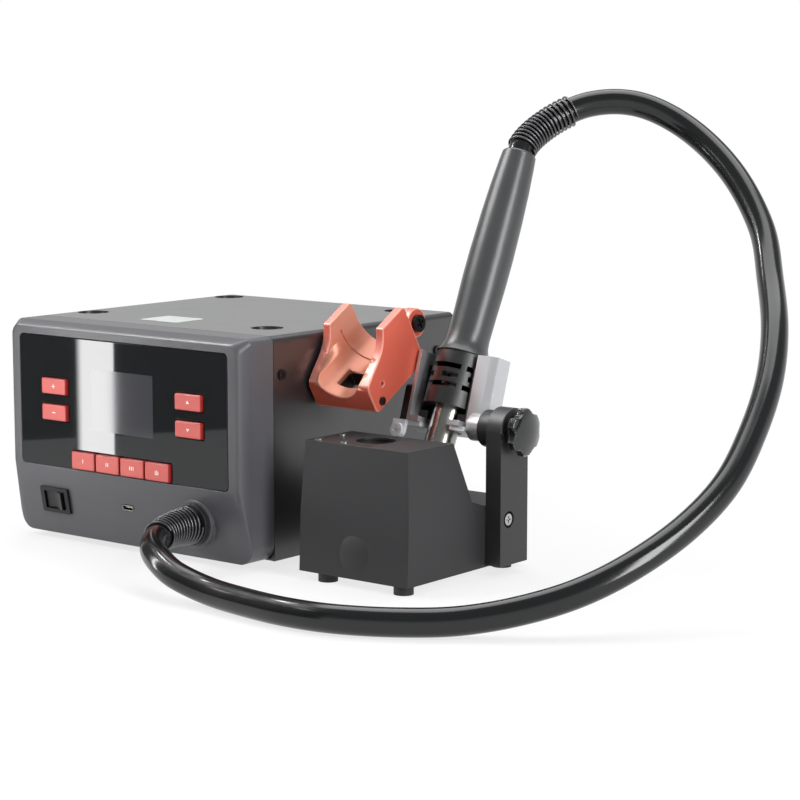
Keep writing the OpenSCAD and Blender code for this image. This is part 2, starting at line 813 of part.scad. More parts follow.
module blower_housing() {
    foot_top = blower_z - impeller_r - 8;
    color(black) placed() difference() {
        union() {
            prism_x(scroll_x[0], scroll_x[1]) scroll_outline(scroll_wall);
            for (y = [blower_y - 30, blower_y + 10])
                block(scroll_x[0], scroll_x[1], y, y + 8, tray_top, foot_top);
        }
        prism_x(scroll_x[0] - 1, scroll_x[1] - scroll_wall) scroll_outline(0);
        prism_x(scroll_x[0] - 1, scroll_x[1] - scroll_wall) polygon([
            [scroll_out_y - 1, blower_z - scroll_r(-90)], [scroll_out_y + 1, blower_z - scroll_r(-90)],
            [scroll_out_y + 1, blower_z - scroll_r(225) * sin(45)],
            [scroll_out_y - 1, blower_z - scroll_r(225) * sin(45)]
        ]);
        rod_x(scroll_x[1] - scroll_wall - 1, scroll_x[1] + 1, blower_y, blower_z, 8);
    }
}

module blower_cover() {
    color(black) placed() difference() {
        union() {
            prism_x(scroll_x[0] - 2, scroll_x[0]) scroll_outline(scroll_wall);
            rod_x(scroll_x[0] - 4, scroll_x[0] - 1, blower_y, blower_z, intake_r + 2);
        }
        rod_x(scroll_x[0] - 5, scroll_x[0] + 1, blower_y, blower_z, intake_r);
    }
}

wheel_x = [hose_x - impeller_w / 2 - 1, hose_x + impeller_w / 2 - 1];
blade_in = impeller_r * 0.7;
blade_t = 1.2;

// Curved blade, bent forward between two radii
function blade_line(offset) = [for (k = [0:4])
    let (r = blade_in + (impeller_r - 1 - blade_in) * k / 4, a = 26 * pow(k / 4, 1.5) + offset)
    r * [cos(a), sin(a)]];
function reversed(list) = [for (i = [len(list) - 1:-1:0]) list[i]];

module impeller() {
    angle_t = blade_t / impeller_r * 57.3;
    color(dark_grey) placed() translate([0, blower_y, blower_z]) {
        rod_x(wheel_x[1] - 1.5, wheel_x[1], 0, 0, impeller_r);
        difference() {
            rod_x(wheel_x[0], wheel_x[0] + 1.5, 0, 0, impeller_r);
            rod_x(wheel_x[0] - 1, wheel_x[0] + 3, 0, 0, blade_in);
        }
        for (i = [0:blade_count - 1])
            rotate([i * 360 / blade_count, 0, 0]) prism_x(wheel_x[0] + 1, wheel_x[1] - 1)
                polygon(concat(blade_line(0), reversed(blade_line(angle_t * 1.6))));
        rod_x(wheel_x[1] - 8, wheel_x[1], 0, 0, shaft_d);
        rod_x(wheel_x[1] - 8, scroll_x[1] + 20, 0, 0, shaft_d / 2);
    }
}

motor_x = [scroll_x[1], scroll_x[1] + 20.4];

module blower_motor() {
    boss_r = 7.6;
    color(steel) placed() difference() {
        union() {
            rod_x(motor_x[0], motor_x[1], blower_y, blower_z, motor_d / 2);
            rod_x(scroll_x[1] - scroll_wall, motor_x[0] + eps, blower_y, blower_z, boss_r);
        }
        rod_x(scroll_x[1] - scroll_wall - 1, motor_x[1] - 0.4 + 0.2, blower_y, blower_z,
            shaft_d / 2 + shaft_gap);
    }
}

module air_duct() {
    low_z = blower_z - scroll_r(-90);
    high_z = blower_z - scroll_r(225) * sin(45);
    front_y = gland_nut_y + gland_nut_t + 0.3;
    bend_y = gland_end + 2;
    end_y = scroll_out_y - 0.3;
    color(black) placed() {
        difference() {
            hull() {
                rod_y(bend_y, bend_y + 1, hose_x, hose_z, gland_stub_r + 2, hull_fn);
                block(scroll_x[0], scroll_x[1], end_y - 4, end_y, low_z - scroll_wall, high_z + scroll_wall);
            }
            hull() {
                rod_y(bend_y - 1, bend_y + 1, hose_x, hose_z, gland_stub_r, hull_fn);
                block(scroll_x[0] + 2, scroll_x[1] - 2, end_y - 4, end_y + 1, low_z, high_z);
            }
        }
        difference() {
            rod_y(front_y, bend_y + 0.5, hose_x, hose_z, gland_stub_r + 2);
            rod_y(front_y - 1, bend_y + 1, hose_x, hose_z, gland_stub_r + 0.1);
        }
    }
}

module main_board() {
    top_z = board_z + board_t;
    x0 = main_board_x[0];
    x1 = main_board_x[1];
    y0 = main_board_y[0];
    y1 = main_board_y[1];
    transformer = [32, 32, 28];
    capacitor = [11, 24];
    relay = [20, 16, 15];
    choke = [18, 10, 10];
    color(board_green) placed() difference() {
        union() {
            block(x0, x1, y0, y1, board_z, top_z);
            translate([x0 + 10, y1 - 14 - transformer[1], top_z - eps]) cube(transformer);
            for (i = [0:2])
                rod_z(top_z - eps, top_z + capacitor[1], x1 - 12 - 13 * i, y1 - 24, capacitor[0] / 2);
            translate([x0 + 12, y0 + 12, top_z - eps]) cube(relay);
            translate([x0 + 40, y0 + 12, top_z - eps]) cube(choke);
        }
        board_posts(1.6, board_z - 1, top_z + 1);
    }
}

module heatsink() {
    fin_pitch = 6;
    fins = 7;
    width = fin_pitch * (fins - 1) + 2;
    height = 34;
    x0 = main_board_x[1] - width - 8;
    y0 = main_board_y[0] + 34;
    z0 = board_z + board_t;
    color(steel) placed() {
        block(x0, x0 + width, y0, y0 + 4, z0, z0 + height);
        for (i = [0:fins - 1]) {
            x = x0 + i * fin_pitch;
            block(x, x + 2, y0 + 4 - eps, y0 + 20, z0, z0 + height);
        }
    }
}

drawer_w = 22;
drawer_h = 7;
drawer_z = inlet_z + 12.5;
drawer_d = 20;

module inlet_socket() {
    flange_y = panel_back;
    mouth_z = inlet_z - 5;
    color(black) placed() {
        difference() {
            union() {
                prism_y(flange_y, inlet_back) rounded(inlet_x - inlet_w / 2, inlet_x + inlet_w / 2,
                    inlet_z - inlet_h / 2, inlet_z + inlet_h / 2, 2, 2);
                block(inlet_x - inlet_body_w / 2, inlet_x + inlet_body_w / 2, flange_y - 22,
                    flange_y + eps, inlet_z - inlet_body_h / 2, inlet_z + inlet_body_h / 2);
            }
            prism_y(inlet_back - 17, inlet_back + 1) polygon([
                [inlet_x - 12, mouth_z - 8], [inlet_x + 12, mouth_z - 8], [inlet_x + 12, mouth_z + 3],
                [inlet_x + 7, mouth_z + 8], [inlet_x - 7, mouth_z + 8], [inlet_x - 12, mouth_z + 3]
            ]);
            block(inlet_x - drawer_w / 2 - 0.3, inlet_x + drawer_w / 2 + 0.3, inlet_back - drawer_d - 0.3,
                inlet_back + 1, drawer_z - drawer_h / 2 - 0.3, drawer_z + drawer_h / 2 + 0.3);
        }
        for (x = [-7, 0, 7])
            block(inlet_x + x - 1, inlet_x + x + 1, inlet_back - 18, inlet_back - 5,
                mouth_z - 2 + (x == 0 ? 3 : -2), mouth_z + 2 + (x == 0 ? 3 : -2));
        for (x = [-8, 8]) block(inlet_x + x - 2.5, inlet_x + x + 2.5, flange_y - 30, flange_y - 22 + eps,
            inlet_z - 0.5, inlet_z + 0.5);
    }
}

module fuse_drawer() {
    color(dark_grey) placed() difference() {
        block(inlet_x - drawer_w / 2, inlet_x + drawer_w / 2, inlet_back - drawer_d, inlet_back,
            drawer_z - drawer_h / 2, drawer_z + drawer_h / 2);
        block(inlet_x - 9, inlet_x + 9, inlet_back - drawer_d + 2, inlet_back - 4,
            drawer_z - 1.5, drawer_z + drawer_h);
        block(inlet_x - 4, inlet_x + 4, inlet_back - 1.2, inlet_back + 1, drawer_z - 0.8, drawer_z + 0.8);
    }
}

module case_feet() {
    color(black) placed() for (x = foot_xs, y = foot_ys) difference() {
        rod_z(0, low, x, y, foot_d / 2);
        rod_z(-1, 2, x, y, 3.4);
        rod_z(-1, low + 1, x, y, 1.8);
    }
}

module case_screws() {
    color(steel) placed() for (side = [0, 1], y = [front_screw_y, rear_screw_y])
        translate([side * case_w, y, side_screw_z]) rotate([0, side == 0 ? -90 : 90, 0])
            screw(3, screw_head, 1.4, 6);
}

// Red holder on the case's right side
module holder_boss() {
    color(black) placed() difference() {
        rod_x(case_w, case_w + boss_t - 0.3, holder_pin_place[0], holder_pin_place[1], 8);
        rod_x(case_w - 1, case_w + boss_t, holder_pin_place[0], holder_pin_place[1], holder_pin_d / 2 + 0.1);
    }
}

holder_pin_place = [
    holder_y + holder_pin_y * cos(holder_lean) - holder_pin_z * sin(holder_lean),
    holder_z + holder_pin_y * sin(holder_lean) + holder_pin_z * cos(holder_lean)
];

// Pivot screw, put in from inside the case
module holder_screw() {
    shank = sheet_t + boss_t + holder_pin_in - 0.3;
    color(steel) placed() translate([case_w - sheet_t, holder_pin_place[0], holder_pin_place[1]])
        rotate([0, -90, 0]) screw(4.4, 2.4, holder_pin_d / 2, shank);
}

// Point on a curve with two guide points
function bow(a, b, c, d, t) =
    pow(1 - t, 3) * a + 3 * t * pow(1 - t, 2) * b + 3 * t * t * (1 - t) * c + pow(t, 3) * d;

// Side of the holder, its front edge sweeping up to the tip of the wall
module holder_outline() {
    tip = [28.6, holder_top];
    brow = [1.2, 18];
    polygon(concat(
        [[0, 1.5], [1.5, 0], [holder_l, 0], [holder_l, holder_top - 2], [holder_l - 2, holder_top]],
        [for (i = [0:10]) bow(tip, [22.6, 24.5], [13.5, 25.2], brow, i / 10)],
        [[0, 15]]
    ));
}

module red_holder() {
    mid = holder_mid;
    color(red_anodised) placed() in_holder() difference() {
        union() {
            prism_x(holder_x, holder_x + holder_w) holder_outline();
            rod_x(holder_x + holder_w - 10, holder_x + holder_w - 3, holder_eye_y, holder_eye_z, 8.5);
            block(holder_x + holder_w - 10, holder_x + holder_w - 3, holder_l - 2, holder_eye_y,
                holder_eye_z - 7, holder_eye_z + 5);
        }
        rod_y(-5, holder_l + 1, mid, holder_axis, channel_r);
        block(mid - channel_r, mid + channel_r, -5, holder_l + 1, holder_axis, holder_axis + 40);
        rod_y(34, 35.2, mid, holder_axis, channel_r + 0.6);
        block(mid - 9, mid + 9, 9, 22, -1, holder_axis);
        rod_x(holder_x - 1, holder_x + holder_pin_in, holder_pin_y, holder_pin_z,
            holder_pin_d / 2 + shaft_gap);
        rod_x(holder_x + holder_w - 3, holder_x + holder_w + 1, 7, 4, 1.45);
        rod_x(holder_x + holder_w - 4, holder_x + holder_w + 1, 12.6, 11.7, 1.3);
        rod_x(holder_x + holder_w - 20, holder_x + holder_w + 1, holder_eye_y, holder_eye_z, 3.2);
    }
}

module holder_trim_screws() {
    color(black) placed() in_holder() {
        translate([holder_x + holder_w, 7, 4]) rotate([0, 90, 0]) screw(2.4, 1, 1.35, 2.6);
        translate([holder_x + holder_w - 3, holder_eye_y, holder_eye_z]) rotate([0, 90, 0])
            screw(5, 2.6, 3.1, 6.6);
    }
}

// Stand
slope_low_y = pivot_y - 14;
stand_lean = 3;
ridge_y = stand_y + 43;
crease_y = ridge_y + 15;
crease_z = deck_h + 3.5;
side_in = 2.5;
rear_r = 8;

module stand_side(inset) {
    difference() {
        polygon([
            [stand_y + inset, stand_low], [stand_y + stand_lean + inset, stand_h - inset],
            [ridge_y - inset * 0.7, stand_h - inset], [crease_y - inset * 0.7, crease_z - inset],
            [slope_low_y - inset * 0.3, deck_h - inset], [stand_back - inset, deck_h - inset],
            [stand_back - inset, stand_low]
        ]);
        translate([stand_back - rear_r, deck_h - rear_r]) difference() {
            square(rear_r + 1);
            circle(rear_r - inset);
        }
    }
}

module stand_front(inset) {
    polygon([
        [stand_x + inset, stand_low - 1], [stand_x + inset, deck_h],
        [stand_x + side_in + inset, stand_h + 1], [stand_right - side_in * 0.8 - inset, stand_h + 1],
        [stand_right - inset, deck_h], [stand_right - inset, stand_low - 1]
    ]);
}

module stand_solid(inset) {
    intersection() {
        prism_x(stand_x - 1, stand_right + 1) stand_side(inset);
        prism_y(stand_y - 1, stand_back + 1) stand_front(inset);
    }
}

plate_t = 1.5;
plate_x = [stand_x + side_in + 0.6, stand_x + 46];
plate_y = [stand_y + stand_lean + 0.5, ridge_y - 1];
well_x = stand_x + 34.5;
well_y = stand_y + 25;
cap_x = stand_mid + 0.5;
cap_z = 18.8;
cap_slot = 0.2;
arm_screw_y = pivot_y - 5;
arm_screw_z = 32;
bottom_t = 2;

// Moves the children to the cap's middle on the stand's leaning front
module on_front() {
    rise = stand_h - stand_low;
    translate([cap_x, stand_y + stand_lean * (cap_z - stand_low) / rise, cap_z])
        rotate([-atan(stand_lean / rise), 0, 0]) children();
}

module stand_base() {
    color(dark_grey) placed() difference() {
        stand_solid(0);
        difference() {
            stand_solid(cast_t);
            rod_z(stand_h - well_depth - 2, stand_h + 1, well_x, well_y, well_d / 2 + 2);
            rod_x(stand_right - 14, stand_right, arm_screw_y, arm_screw_z, 5);
        }
        block(plate_x[0] - 0.2, plate_x[1] + 0.2, plate_y[0] - 0.2, plate_y[1] + 0.2,
            stand_h - plate_t, stand_h + 1);
        rod_z(stand_h - well_depth, stand_h + 1, well_x, well_y, well_d / 2);
        rod_x(stand_right - 12, stand_right + 1, arm_screw_y, arm_screw_z, 2.1);
        on_front() rod_y(-2, cast_t + 3, 0, 0, cap_d / 2 - 2);
        for (p = plate_screw_places) rod_z(stand_h - plate_t - 4, stand_h + 1, p[0], p[1], 1.1);
    }
}

module stand_top_plate() {
    color(black) placed() difference() {
        block(plate_x[0], plate_x[1], plate_y[0], plate_y[1], stand_h - plate_t, stand_h);
        rod_z(stand_h - plate_t - 1, stand_h + 1, well_x, well_y, well_d / 2 - 1);
        for (p = plate_screw_places) rod_z(stand_h - plate_t - 1, stand_h + 1, p[0], p[1], 1.3);
    }
}

plate_screw_places = [
    [stand_x + 8, plate_y[0] + 4.5], [stand_x + 8, plate_y[1] - 14],
    [stand_x + 26, plate_y[0] + 4.5]
];

module plate_screws() {
    color(steel) placed() for (p = plate_screw_places)
        translate([p[0], p[1], stand_h]) screw(2.2, 0.7, 1, plate_t + 3);
}

module front_cap() {
    dome_r = 31.2;
    color(black) placed() on_front() intersection() {
        union() {
            rod_y(-2, 0, 0, 0, cap_d / 2);
            rod_y(-eps, cast_t + 2, 0, 0, cap_d / 2 - 2 - cap_slot);
        }
        translate([0, dome_r - 1.7, 0]) sphere(r = dome_r, $fn = 96);
    }
}

ballast_x = [stand_x + 9, stand_right - 17];
ballast_y = [stand_y + 12, stand_back - 12];

module ballast_block() {
    color(steel) placed()
        block(ballast_x[0], ballast_x[1], ballast_y[0], ballast_y[1], stand_low + bottom_t,
            stand_low + bottom_t + 22);
}

module stand_bottom_plate() {
    color(black) placed()
        block(stand_x + cast_t + 0.2, stand_right - cast_t - 0.2, stand_y + cast_t + 0.4,
            stand_back - cast_t - 0.4, stand_low, stand_low + bottom_t);
}

stand_foot_r = 5.5;
stand_foot_xs = [stand_x + 15, stand_right - 8];
stand_foot_ys = [stand_y + 7, stand_back - 12];

module stand_feet() {
    color(black) placed() for (x = stand_foot_xs, y = stand_foot_ys)
        rod_z(0, stand_low, x, y, stand_foot_r);
}

module support_arm() {
    front = pivot_y - arm_w / 2;
    color(dark_grey) placed() difference() {
        prism_x(arm_x, arm_right) {
            translate([front, stand_low + 1]) square([arm_w, pivot_z - stand_low - 1]);
            translate([pivot_y, pivot_z]) circle(arm_w / 2);
        }
        rod_x(arm_x - 1, arm_right + 1, pivot_y, pivot_z, stud_d / 2 + shaft_gap);
        rod_x(arm_x - 1, arm_right + 1, arm_screw_y, arm_screw_z, 2.2);
        rod_x(arm_right - 2.6, arm_right + 1, arm_screw_y, arm_screw_z, 4.6);
    }
}

module arm_screws() {
    color(bright) placed() translate([arm_right - 2.5, arm_screw_y, arm_screw_z])
        rotate([0, 90, 0]) screw(3.3, 2.2, 2, 18);
}

// Handle cradle, in its own leaning frame
lug_r = 8;
lug_x = block_out - 9;

module cradle_channel() {
    color(bright) placed() in_cradle() difference() {
        union() {
            block(-cradle_left, -channel_in, -12, web_in + web_t, cradle_under, cradle_h - 1);
            block(-cradle_left, channel_in + 1, web_in, web_in + web_t, cradle_under, cradle_h);
            prism_z(cradle_under, cradle_h) polygon([
                [channel_in, -4], [block_out - 4, -4], [block_out, -1.5], [block_out, 10],
                [channel_in + 2, web_in + web_t], [channel_in, web_in + web_t]
            ]);
            block(-cradle_left, channel_in + 1, -12, web_in + 1, cradle_under, cradle_floor);
            rod_x(lug_x, block_out, 0, 0, lug_r);
        }
        rod_z(cradle_under - 1, cradle_floor + 1, 0, 0, barrel_notch / 2);
        block(-barrel_notch / 2, barrel_notch / 2, -13, 0, cradle_under - 1, cradle_floor + 1);
        rod_x(lug_x - 4, block_out + 1, 0, 0, stud_d / 2 + shaft_gap);
    }
}

module cradle_liner() {
    inner = channel_in - liner_t;
    liner_top = cradle_h - 8;
    color(black) placed() in_cradle() difference() {
        block(-channel_in, channel_in, -4, web_in, cradle_floor, liner_top);
        block(-inner, inner, -5, web_in - liner_t, ledge_top, liner_top + 1);
        block(-channel_in - 1, channel_in + 1, -5, -3.9, -5, 0);
        rod_z(cradle_floor - 1, ledge_top + 1, 0, 0, barrel_notch / 2);
        block(-barrel_notch / 2, barrel_notch / 2, -5, 0, cradle_floor - 1, ledge_top + 1);
    }
}

module cradle_foot() {
    tab_x = -23.5;
    color(bright) placed() in_cradle() difference() {
        union() {
            block(-28, lug_x - 0.5, -9.5, 20, foot_under, cradle_under);
            prism_y(-12, -9.5) {
                translate([-28, -8.5]) square([9, 8.5 + cradle_under]);
                translate([tab_x, -8.5]) circle(4.5);
            }
            translate([tab_x, -12, -8.5]) rotate([90, 0, 0]) screw(4, 1.6, 1, 0.5);
        }
        rod_z(foot_under - 1, cradle_under + 1, 0, 0, barrel_notch / 2);
        block(-barrel_notch / 2, barrel_notch / 2, -13, 0, foot_under - 1, cradle_under + 1);
        rod_z(foot_under - 1, cradle_under + 1, 15, -5.5, 1.4);
    }
}

module cradle_side_cover() {
    color(black) placed() in_cradle()
        prism_x(-28, -cradle_left) rounded(-6, 10, cradle_under, 20, 3, 0.5);
}

module friction_washer() {
    color(black) placed() translate([pivot_x, pivot_y, pivot_z]) difference() {
        rod_x(block_out, washer_end, 0, 0, 10.5);
        rod_x(block_out - 1, washer_end + 1, 0, 0, stud_d / 2 + 0.1);
    }
}

module clamp_stud() {
    color(steel) placed() rod_x(pivot_x + lug_x, arm_right + 5, pivot_y, pivot_z, stud_d / 2);
}

module knob_outline() {
    flute_r = 7;
    flute_depth = 2.1;
    difference() {
        circle(knob_d / 2);
        for (i = [0:knob_lobes - 1])
            rotate(90 + (i + 0.5) * 360 / knob_lobes)
                translate([knob_d / 2 + flute_r - flute_depth, 0]) circle(flute_r);
    }
}

module star_knob() {
    neck_x = arm_right + 0.3;
    dome_r = 30;
    color(black) placed() translate([0, pivot_y, pivot_z]) difference() {
        union() {
            rod_x(neck_x, neck_x + 3.3, 0, 0, 9);
            intersection() {
                prism_x(neck_x + 3.2, knob_face) knob_outline();
                translate([knob_face - dome_r, 0, 0]) sphere(r = dome_r, $fn = 96);
            }
        }
        rod_x(neck_x - 1, arm_right + 5 + 0.2, 0, 0, stud_d / 2);
    }
}

// Handle, in its own leaning frame
wall_r = 2.2;

// Outline of the grip from the collar to its rear end, as distance along and radius
grip_line = [
    [collar_high, collar_r + 0.5], [collar_high + 3, 14.1], [collar_high + 7, 12.7],
    [collar_high + 12, 12.2], [collar_high + 26, 12.4], [collar_high + 45, 12.9],
    [collar_high + 63, 12.9], [handle_l - 41, 12.4], [handle_l - 23, 11.6],
    [handle_l - 7, 10.5], [handle_l - 1.2, 10], [handle_l, grip_end_r - 0.6]
];

module handle_grip() {
    bore = grip_end_r - 2;
    color(dark_grey) placed() in_handle() rotate_extrude($fn = 64) polygon(concat(
        [for (p = grip_line) [p[1], p[0]]],
        [[bore, handle_l], [bore, collar_high + 8], [bore + 2, collar_high + 4], [bore + 2, collar_high]]
    ));
}

// Slots round the collar: height, how many, and how much of their share each takes
slot_rows = [
    [collar_low + 9.7, 4, 0.86], [collar_low + 15.3, 6, 0.62], [collar_low + 20.9, 4, 0.86]
];

module slotted_collar() {
    color(black) placed() in_handle() difference() {
        translate([0, 0, collar_low]) cylinder(h = collar_l, r = collar_r);
        translate([0, 0, collar_low - 1]) cylinder(h = 3.4, r = barrel_d / 2 + 0.1);
        translate([0, 0, collar_low + 2]) cylinder(h = collar_l, r = collar_r - wall_r);
        translate([0, 0, collar_high - 1.4]) difference() {
            cylinder(h = 2, r = collar_r + 1);
            translate([0, 0, -1]) cylinder(h = 4, r = collar_r - 0.8);
        }
        for (row = slot_rows, i = [0:row[1] - 1]) {
            half = 180 / row[1] * row[2];
            rotate([0, 0, i * 360 / row[1] - 90 + (row[1] == 6 ? 18 : 0)]) intersection() {
                translate([0, 0, row[0]]) cylinder(h = slot_w, r = collar_r + 1);
                prism_z(row[0] - 1, row[0] + slot_w + 1) polygon([
                    [0, 0], 30 * [cos(half), -sin(half)], [34, 0], 30 * [cos(half), sin(half)]
                ]);
            }
        }
    }
}

module steel_barrel() {
    barrel_t = 0.8;
    color(steel) placed() in_handle() difference() {
        union() {
            translate([0, 0, -nose_l]) cylinder(h = nose_l + collar_low + 22, r = barrel_d / 2);
            translate([0, 0, collar_low + 2.1]) cylinder(h = 1.2, r = collar_r - wall_r - 0.2);
        }
        translate([0, 0, -nose_l - 1]) cylinder(h = nose_l + collar_low + 24, r = barrel_d / 2 - barrel_t);
    }
}

module mica_tube() {
    outer = barrel_d / 2 - 1;
    color([0.75, 0.66, 0.5]) placed() in_handle() difference() {
        translate([0, 0, -nose_l + 12]) cylinder(h = nose_l + collar_low + 8, r = outer);
        translate([0, 0, -nose_l + 11]) cylinder(h = nose_l + collar_low + 10, r = outer - 0.6);
    }
}

module heater_core() {
    fin_r = barrel_d / 2 - 1.8;
    color([0.9, 0.88, 0.84]) placed() in_handle() translate([0, 0, -nose_l + 14]) {
        for (a = [0:45:135]) rotate([0, 0, a]) translate([-fin_r, -0.7, 0])
            cube([2 * fin_r, 1.4, nose_l + collar_low + 4]);
        cylinder(h = nose_l + collar_low + 4, r = 2.4);
    }
}

module end_fitting() {
    color(dark_grey) placed() in_handle() difference() {
        translate([0, 0, handle_l - 18]) cylinder(h = 18, r = grip_end_r - 2.1);
        translate([0, 0, handle_l - 19]) cylinder(h = 20, r = 4.5);
    }
}

base_tray();
top_cover();
rear_panel();
front_bezel();
front_glass();
display_module();
plus_key();
minus_key();
upper_right_key();
lower_right_key();
memory_key_1();
memory_key_2();
memory_key_3();
standby_key();
key_board();
switch_housing();
rocker();
usb_socket();
hose_gland();
front_spring();
blower_housing();
blower_cover();
impeller();
blower_motor();
air_duct();
main_board();
heatsink();
inlet_socket();
fuse_drawer();
case_feet();
case_screws();
holder_boss();
holder_screw();
red_holder();
holder_trim_screws();
stand_base();
stand_top_plate();
plate_screws();
front_cap();
ballast_block();
stand_bottom_plate();
stand_feet();
support_arm();
arm_screws();
cradle_channel();
cradle_liner();
cradle_foot();
cradle_side_cover();
friction_washer();
clamp_stud();
star_knob();
handle_grip();
slotted_collar();
steel_barrel();
mica_tube();
heater_core();
end_fitting();
handle_spring();
hose();
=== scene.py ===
"""Looks of a hot air rework station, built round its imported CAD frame.

Sizes are bench millimetres: x runs right from the left side of the case, y runs back from its
front edge and z runs up from the table. at() turns a bench point into the row frame's metres.
"""

import functools
import json
import logging
import math
from collections.abc import Sequence
from dataclasses import dataclass
from enum import Enum

import bmesh
import bpy
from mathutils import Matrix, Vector

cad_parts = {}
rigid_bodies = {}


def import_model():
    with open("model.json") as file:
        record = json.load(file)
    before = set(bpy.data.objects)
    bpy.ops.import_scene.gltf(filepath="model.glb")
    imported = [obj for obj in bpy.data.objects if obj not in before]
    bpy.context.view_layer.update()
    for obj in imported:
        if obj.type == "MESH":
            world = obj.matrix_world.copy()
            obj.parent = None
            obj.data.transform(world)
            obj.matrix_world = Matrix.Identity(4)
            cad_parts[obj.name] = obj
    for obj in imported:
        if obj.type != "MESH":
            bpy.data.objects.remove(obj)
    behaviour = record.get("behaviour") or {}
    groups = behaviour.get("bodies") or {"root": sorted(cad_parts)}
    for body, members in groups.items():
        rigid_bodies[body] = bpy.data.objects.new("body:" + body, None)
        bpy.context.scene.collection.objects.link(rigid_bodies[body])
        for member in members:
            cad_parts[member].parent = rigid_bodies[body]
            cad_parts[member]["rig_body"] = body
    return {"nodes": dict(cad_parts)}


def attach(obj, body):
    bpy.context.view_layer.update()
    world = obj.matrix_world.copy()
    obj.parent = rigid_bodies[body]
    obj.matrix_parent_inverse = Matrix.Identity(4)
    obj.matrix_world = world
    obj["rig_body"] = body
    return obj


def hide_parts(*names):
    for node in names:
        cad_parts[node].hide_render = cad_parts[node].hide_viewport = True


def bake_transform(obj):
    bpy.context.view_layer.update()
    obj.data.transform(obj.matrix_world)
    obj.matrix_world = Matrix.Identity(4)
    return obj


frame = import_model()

LOG = logging.getLogger("station")
MM = 0.001
SEAM = 0.01 * MM
BENCH = Vector((156.4, 90.5, 0.0))
WHITE = (1.0, 1.0, 1.0, 1.0)
Colour = tuple[float, float, float]
Point = tuple[float, float, float]
Pair = tuple[float, float]
Box = tuple[float, float, float, float]


def at(x: float, y: float, z: float) -> Vector:
    """Row-frame point, in metres, of a bench point in millimetres."""
    return (Vector((x, y, z)) - BENCH) * MM


def srgb(code: str) -> Colour:
    """Linear colour of a six-digit screen colour."""
    parts = [int(code[i : i + 2], 16) / 255 for i in (0, 2, 4)]
    return tuple(p / 12.92 if p <= 0.04045 else ((p + 0.055) / 1.055) ** 2.4 for p in parts)


class Value:
    """An output socket of a node that takes part in Python arithmetic."""

    def __init__(self, nodes: "Nodes", socket: bpy.types.NodeSocket) -> None:
        """Keeps the socket and the nodes that it belongs to."""
        self.nodes = nodes
        self.socket = socket

    def math(self, operation: str, *others: "Value | float") -> "Value":
        """One Math node on this value.

        Args:
            operation: the Math node's operation.
            others: the node's further inputs.

        Returns:
            The node's result.
        """
        return self.nodes.node("Math", {"operation": operation}, dict(enumerate((self, *others))))

    def __add__(self, other: "Value | float") -> "Value":
        """Sum."""
        return self.math("ADD", other)

    __radd__ = __add__

    def __mul__(self, other: "Value | float") -> "Value":
        """Product."""
        return self.math("MULTIPLY", other)

    __rmul__ = __mul__

    def __sub__(self, other: "Value | float") -> "Value":
        """Difference."""
        return self.math("SUBTRACT", other)

    def __rsub__(self, other: float) -> "Value":
        """Difference from a number."""
        return self.nodes.node("Math", {"operation": "SUBTRACT"}, {0: other, 1: self})

    def __gt__(self, other: "Value | float") -> "Value":
        """1 where this value is the greater."""
        return self.math("GREATER_THAN", other)

    def __lt__(self, other: "Value | float") -> "Value":
        """1 where this value is the smaller."""
        return self.math("LESS_THAN", other)

    def step(self, low: float, high: float) -> "Value":
        """0 below low, 1 above high and a smooth rise between them."""
        settings = {"interpolation_type": "SMOOTHSTEP"}
        return self.nodes.node("MapRange", settings, {0: self, 1: low, 2: high})


class Nodes:
    """Adds nodes to the tree of a material or of the world."""

    def __init__(self, tree: bpy.types.NodeTree) -> None:
        """Keeps the tree."""
        self.tree = tree

    def node(self, kind: str, settings: dict, inputs: dict, output: int | str = 0) -> Value:
        """Adds a node.

        Args:
            kind: the node's type without its common prefix.
            settings: its own settings, which are set first.
            inputs: values or links for its sockets.
            output: the socket to return.

        Returns:
            The chosen output.
        """
        made = self.tree.nodes.new("ShaderNode" + kind)
        for key, setting in settings.items():
            setattr(made, key, setting)
        for key, value in inputs.items():
            if isinstance(value, Value):
                self.tree.links.new(value.socket, made.inputs[key])
            else:
                made.inputs[key].default_value = value
        return Value(self, made.outputs[output])

    def ray(self, kind: str) -> Value:
        """1 for rays of that kind, such as Camera, and 0 for others."""
        return self.node("LightPath", {}, {}, f"Is {kind} Ray")

    def show(self, surface: Value) -> None:
        """Leads a surface to the tree's output."""
        end = next(node for node in self.tree.nodes if node.type.startswith("OUTPUT"))
        self.tree.links.new(surface.socket, end.inputs["Surface"])


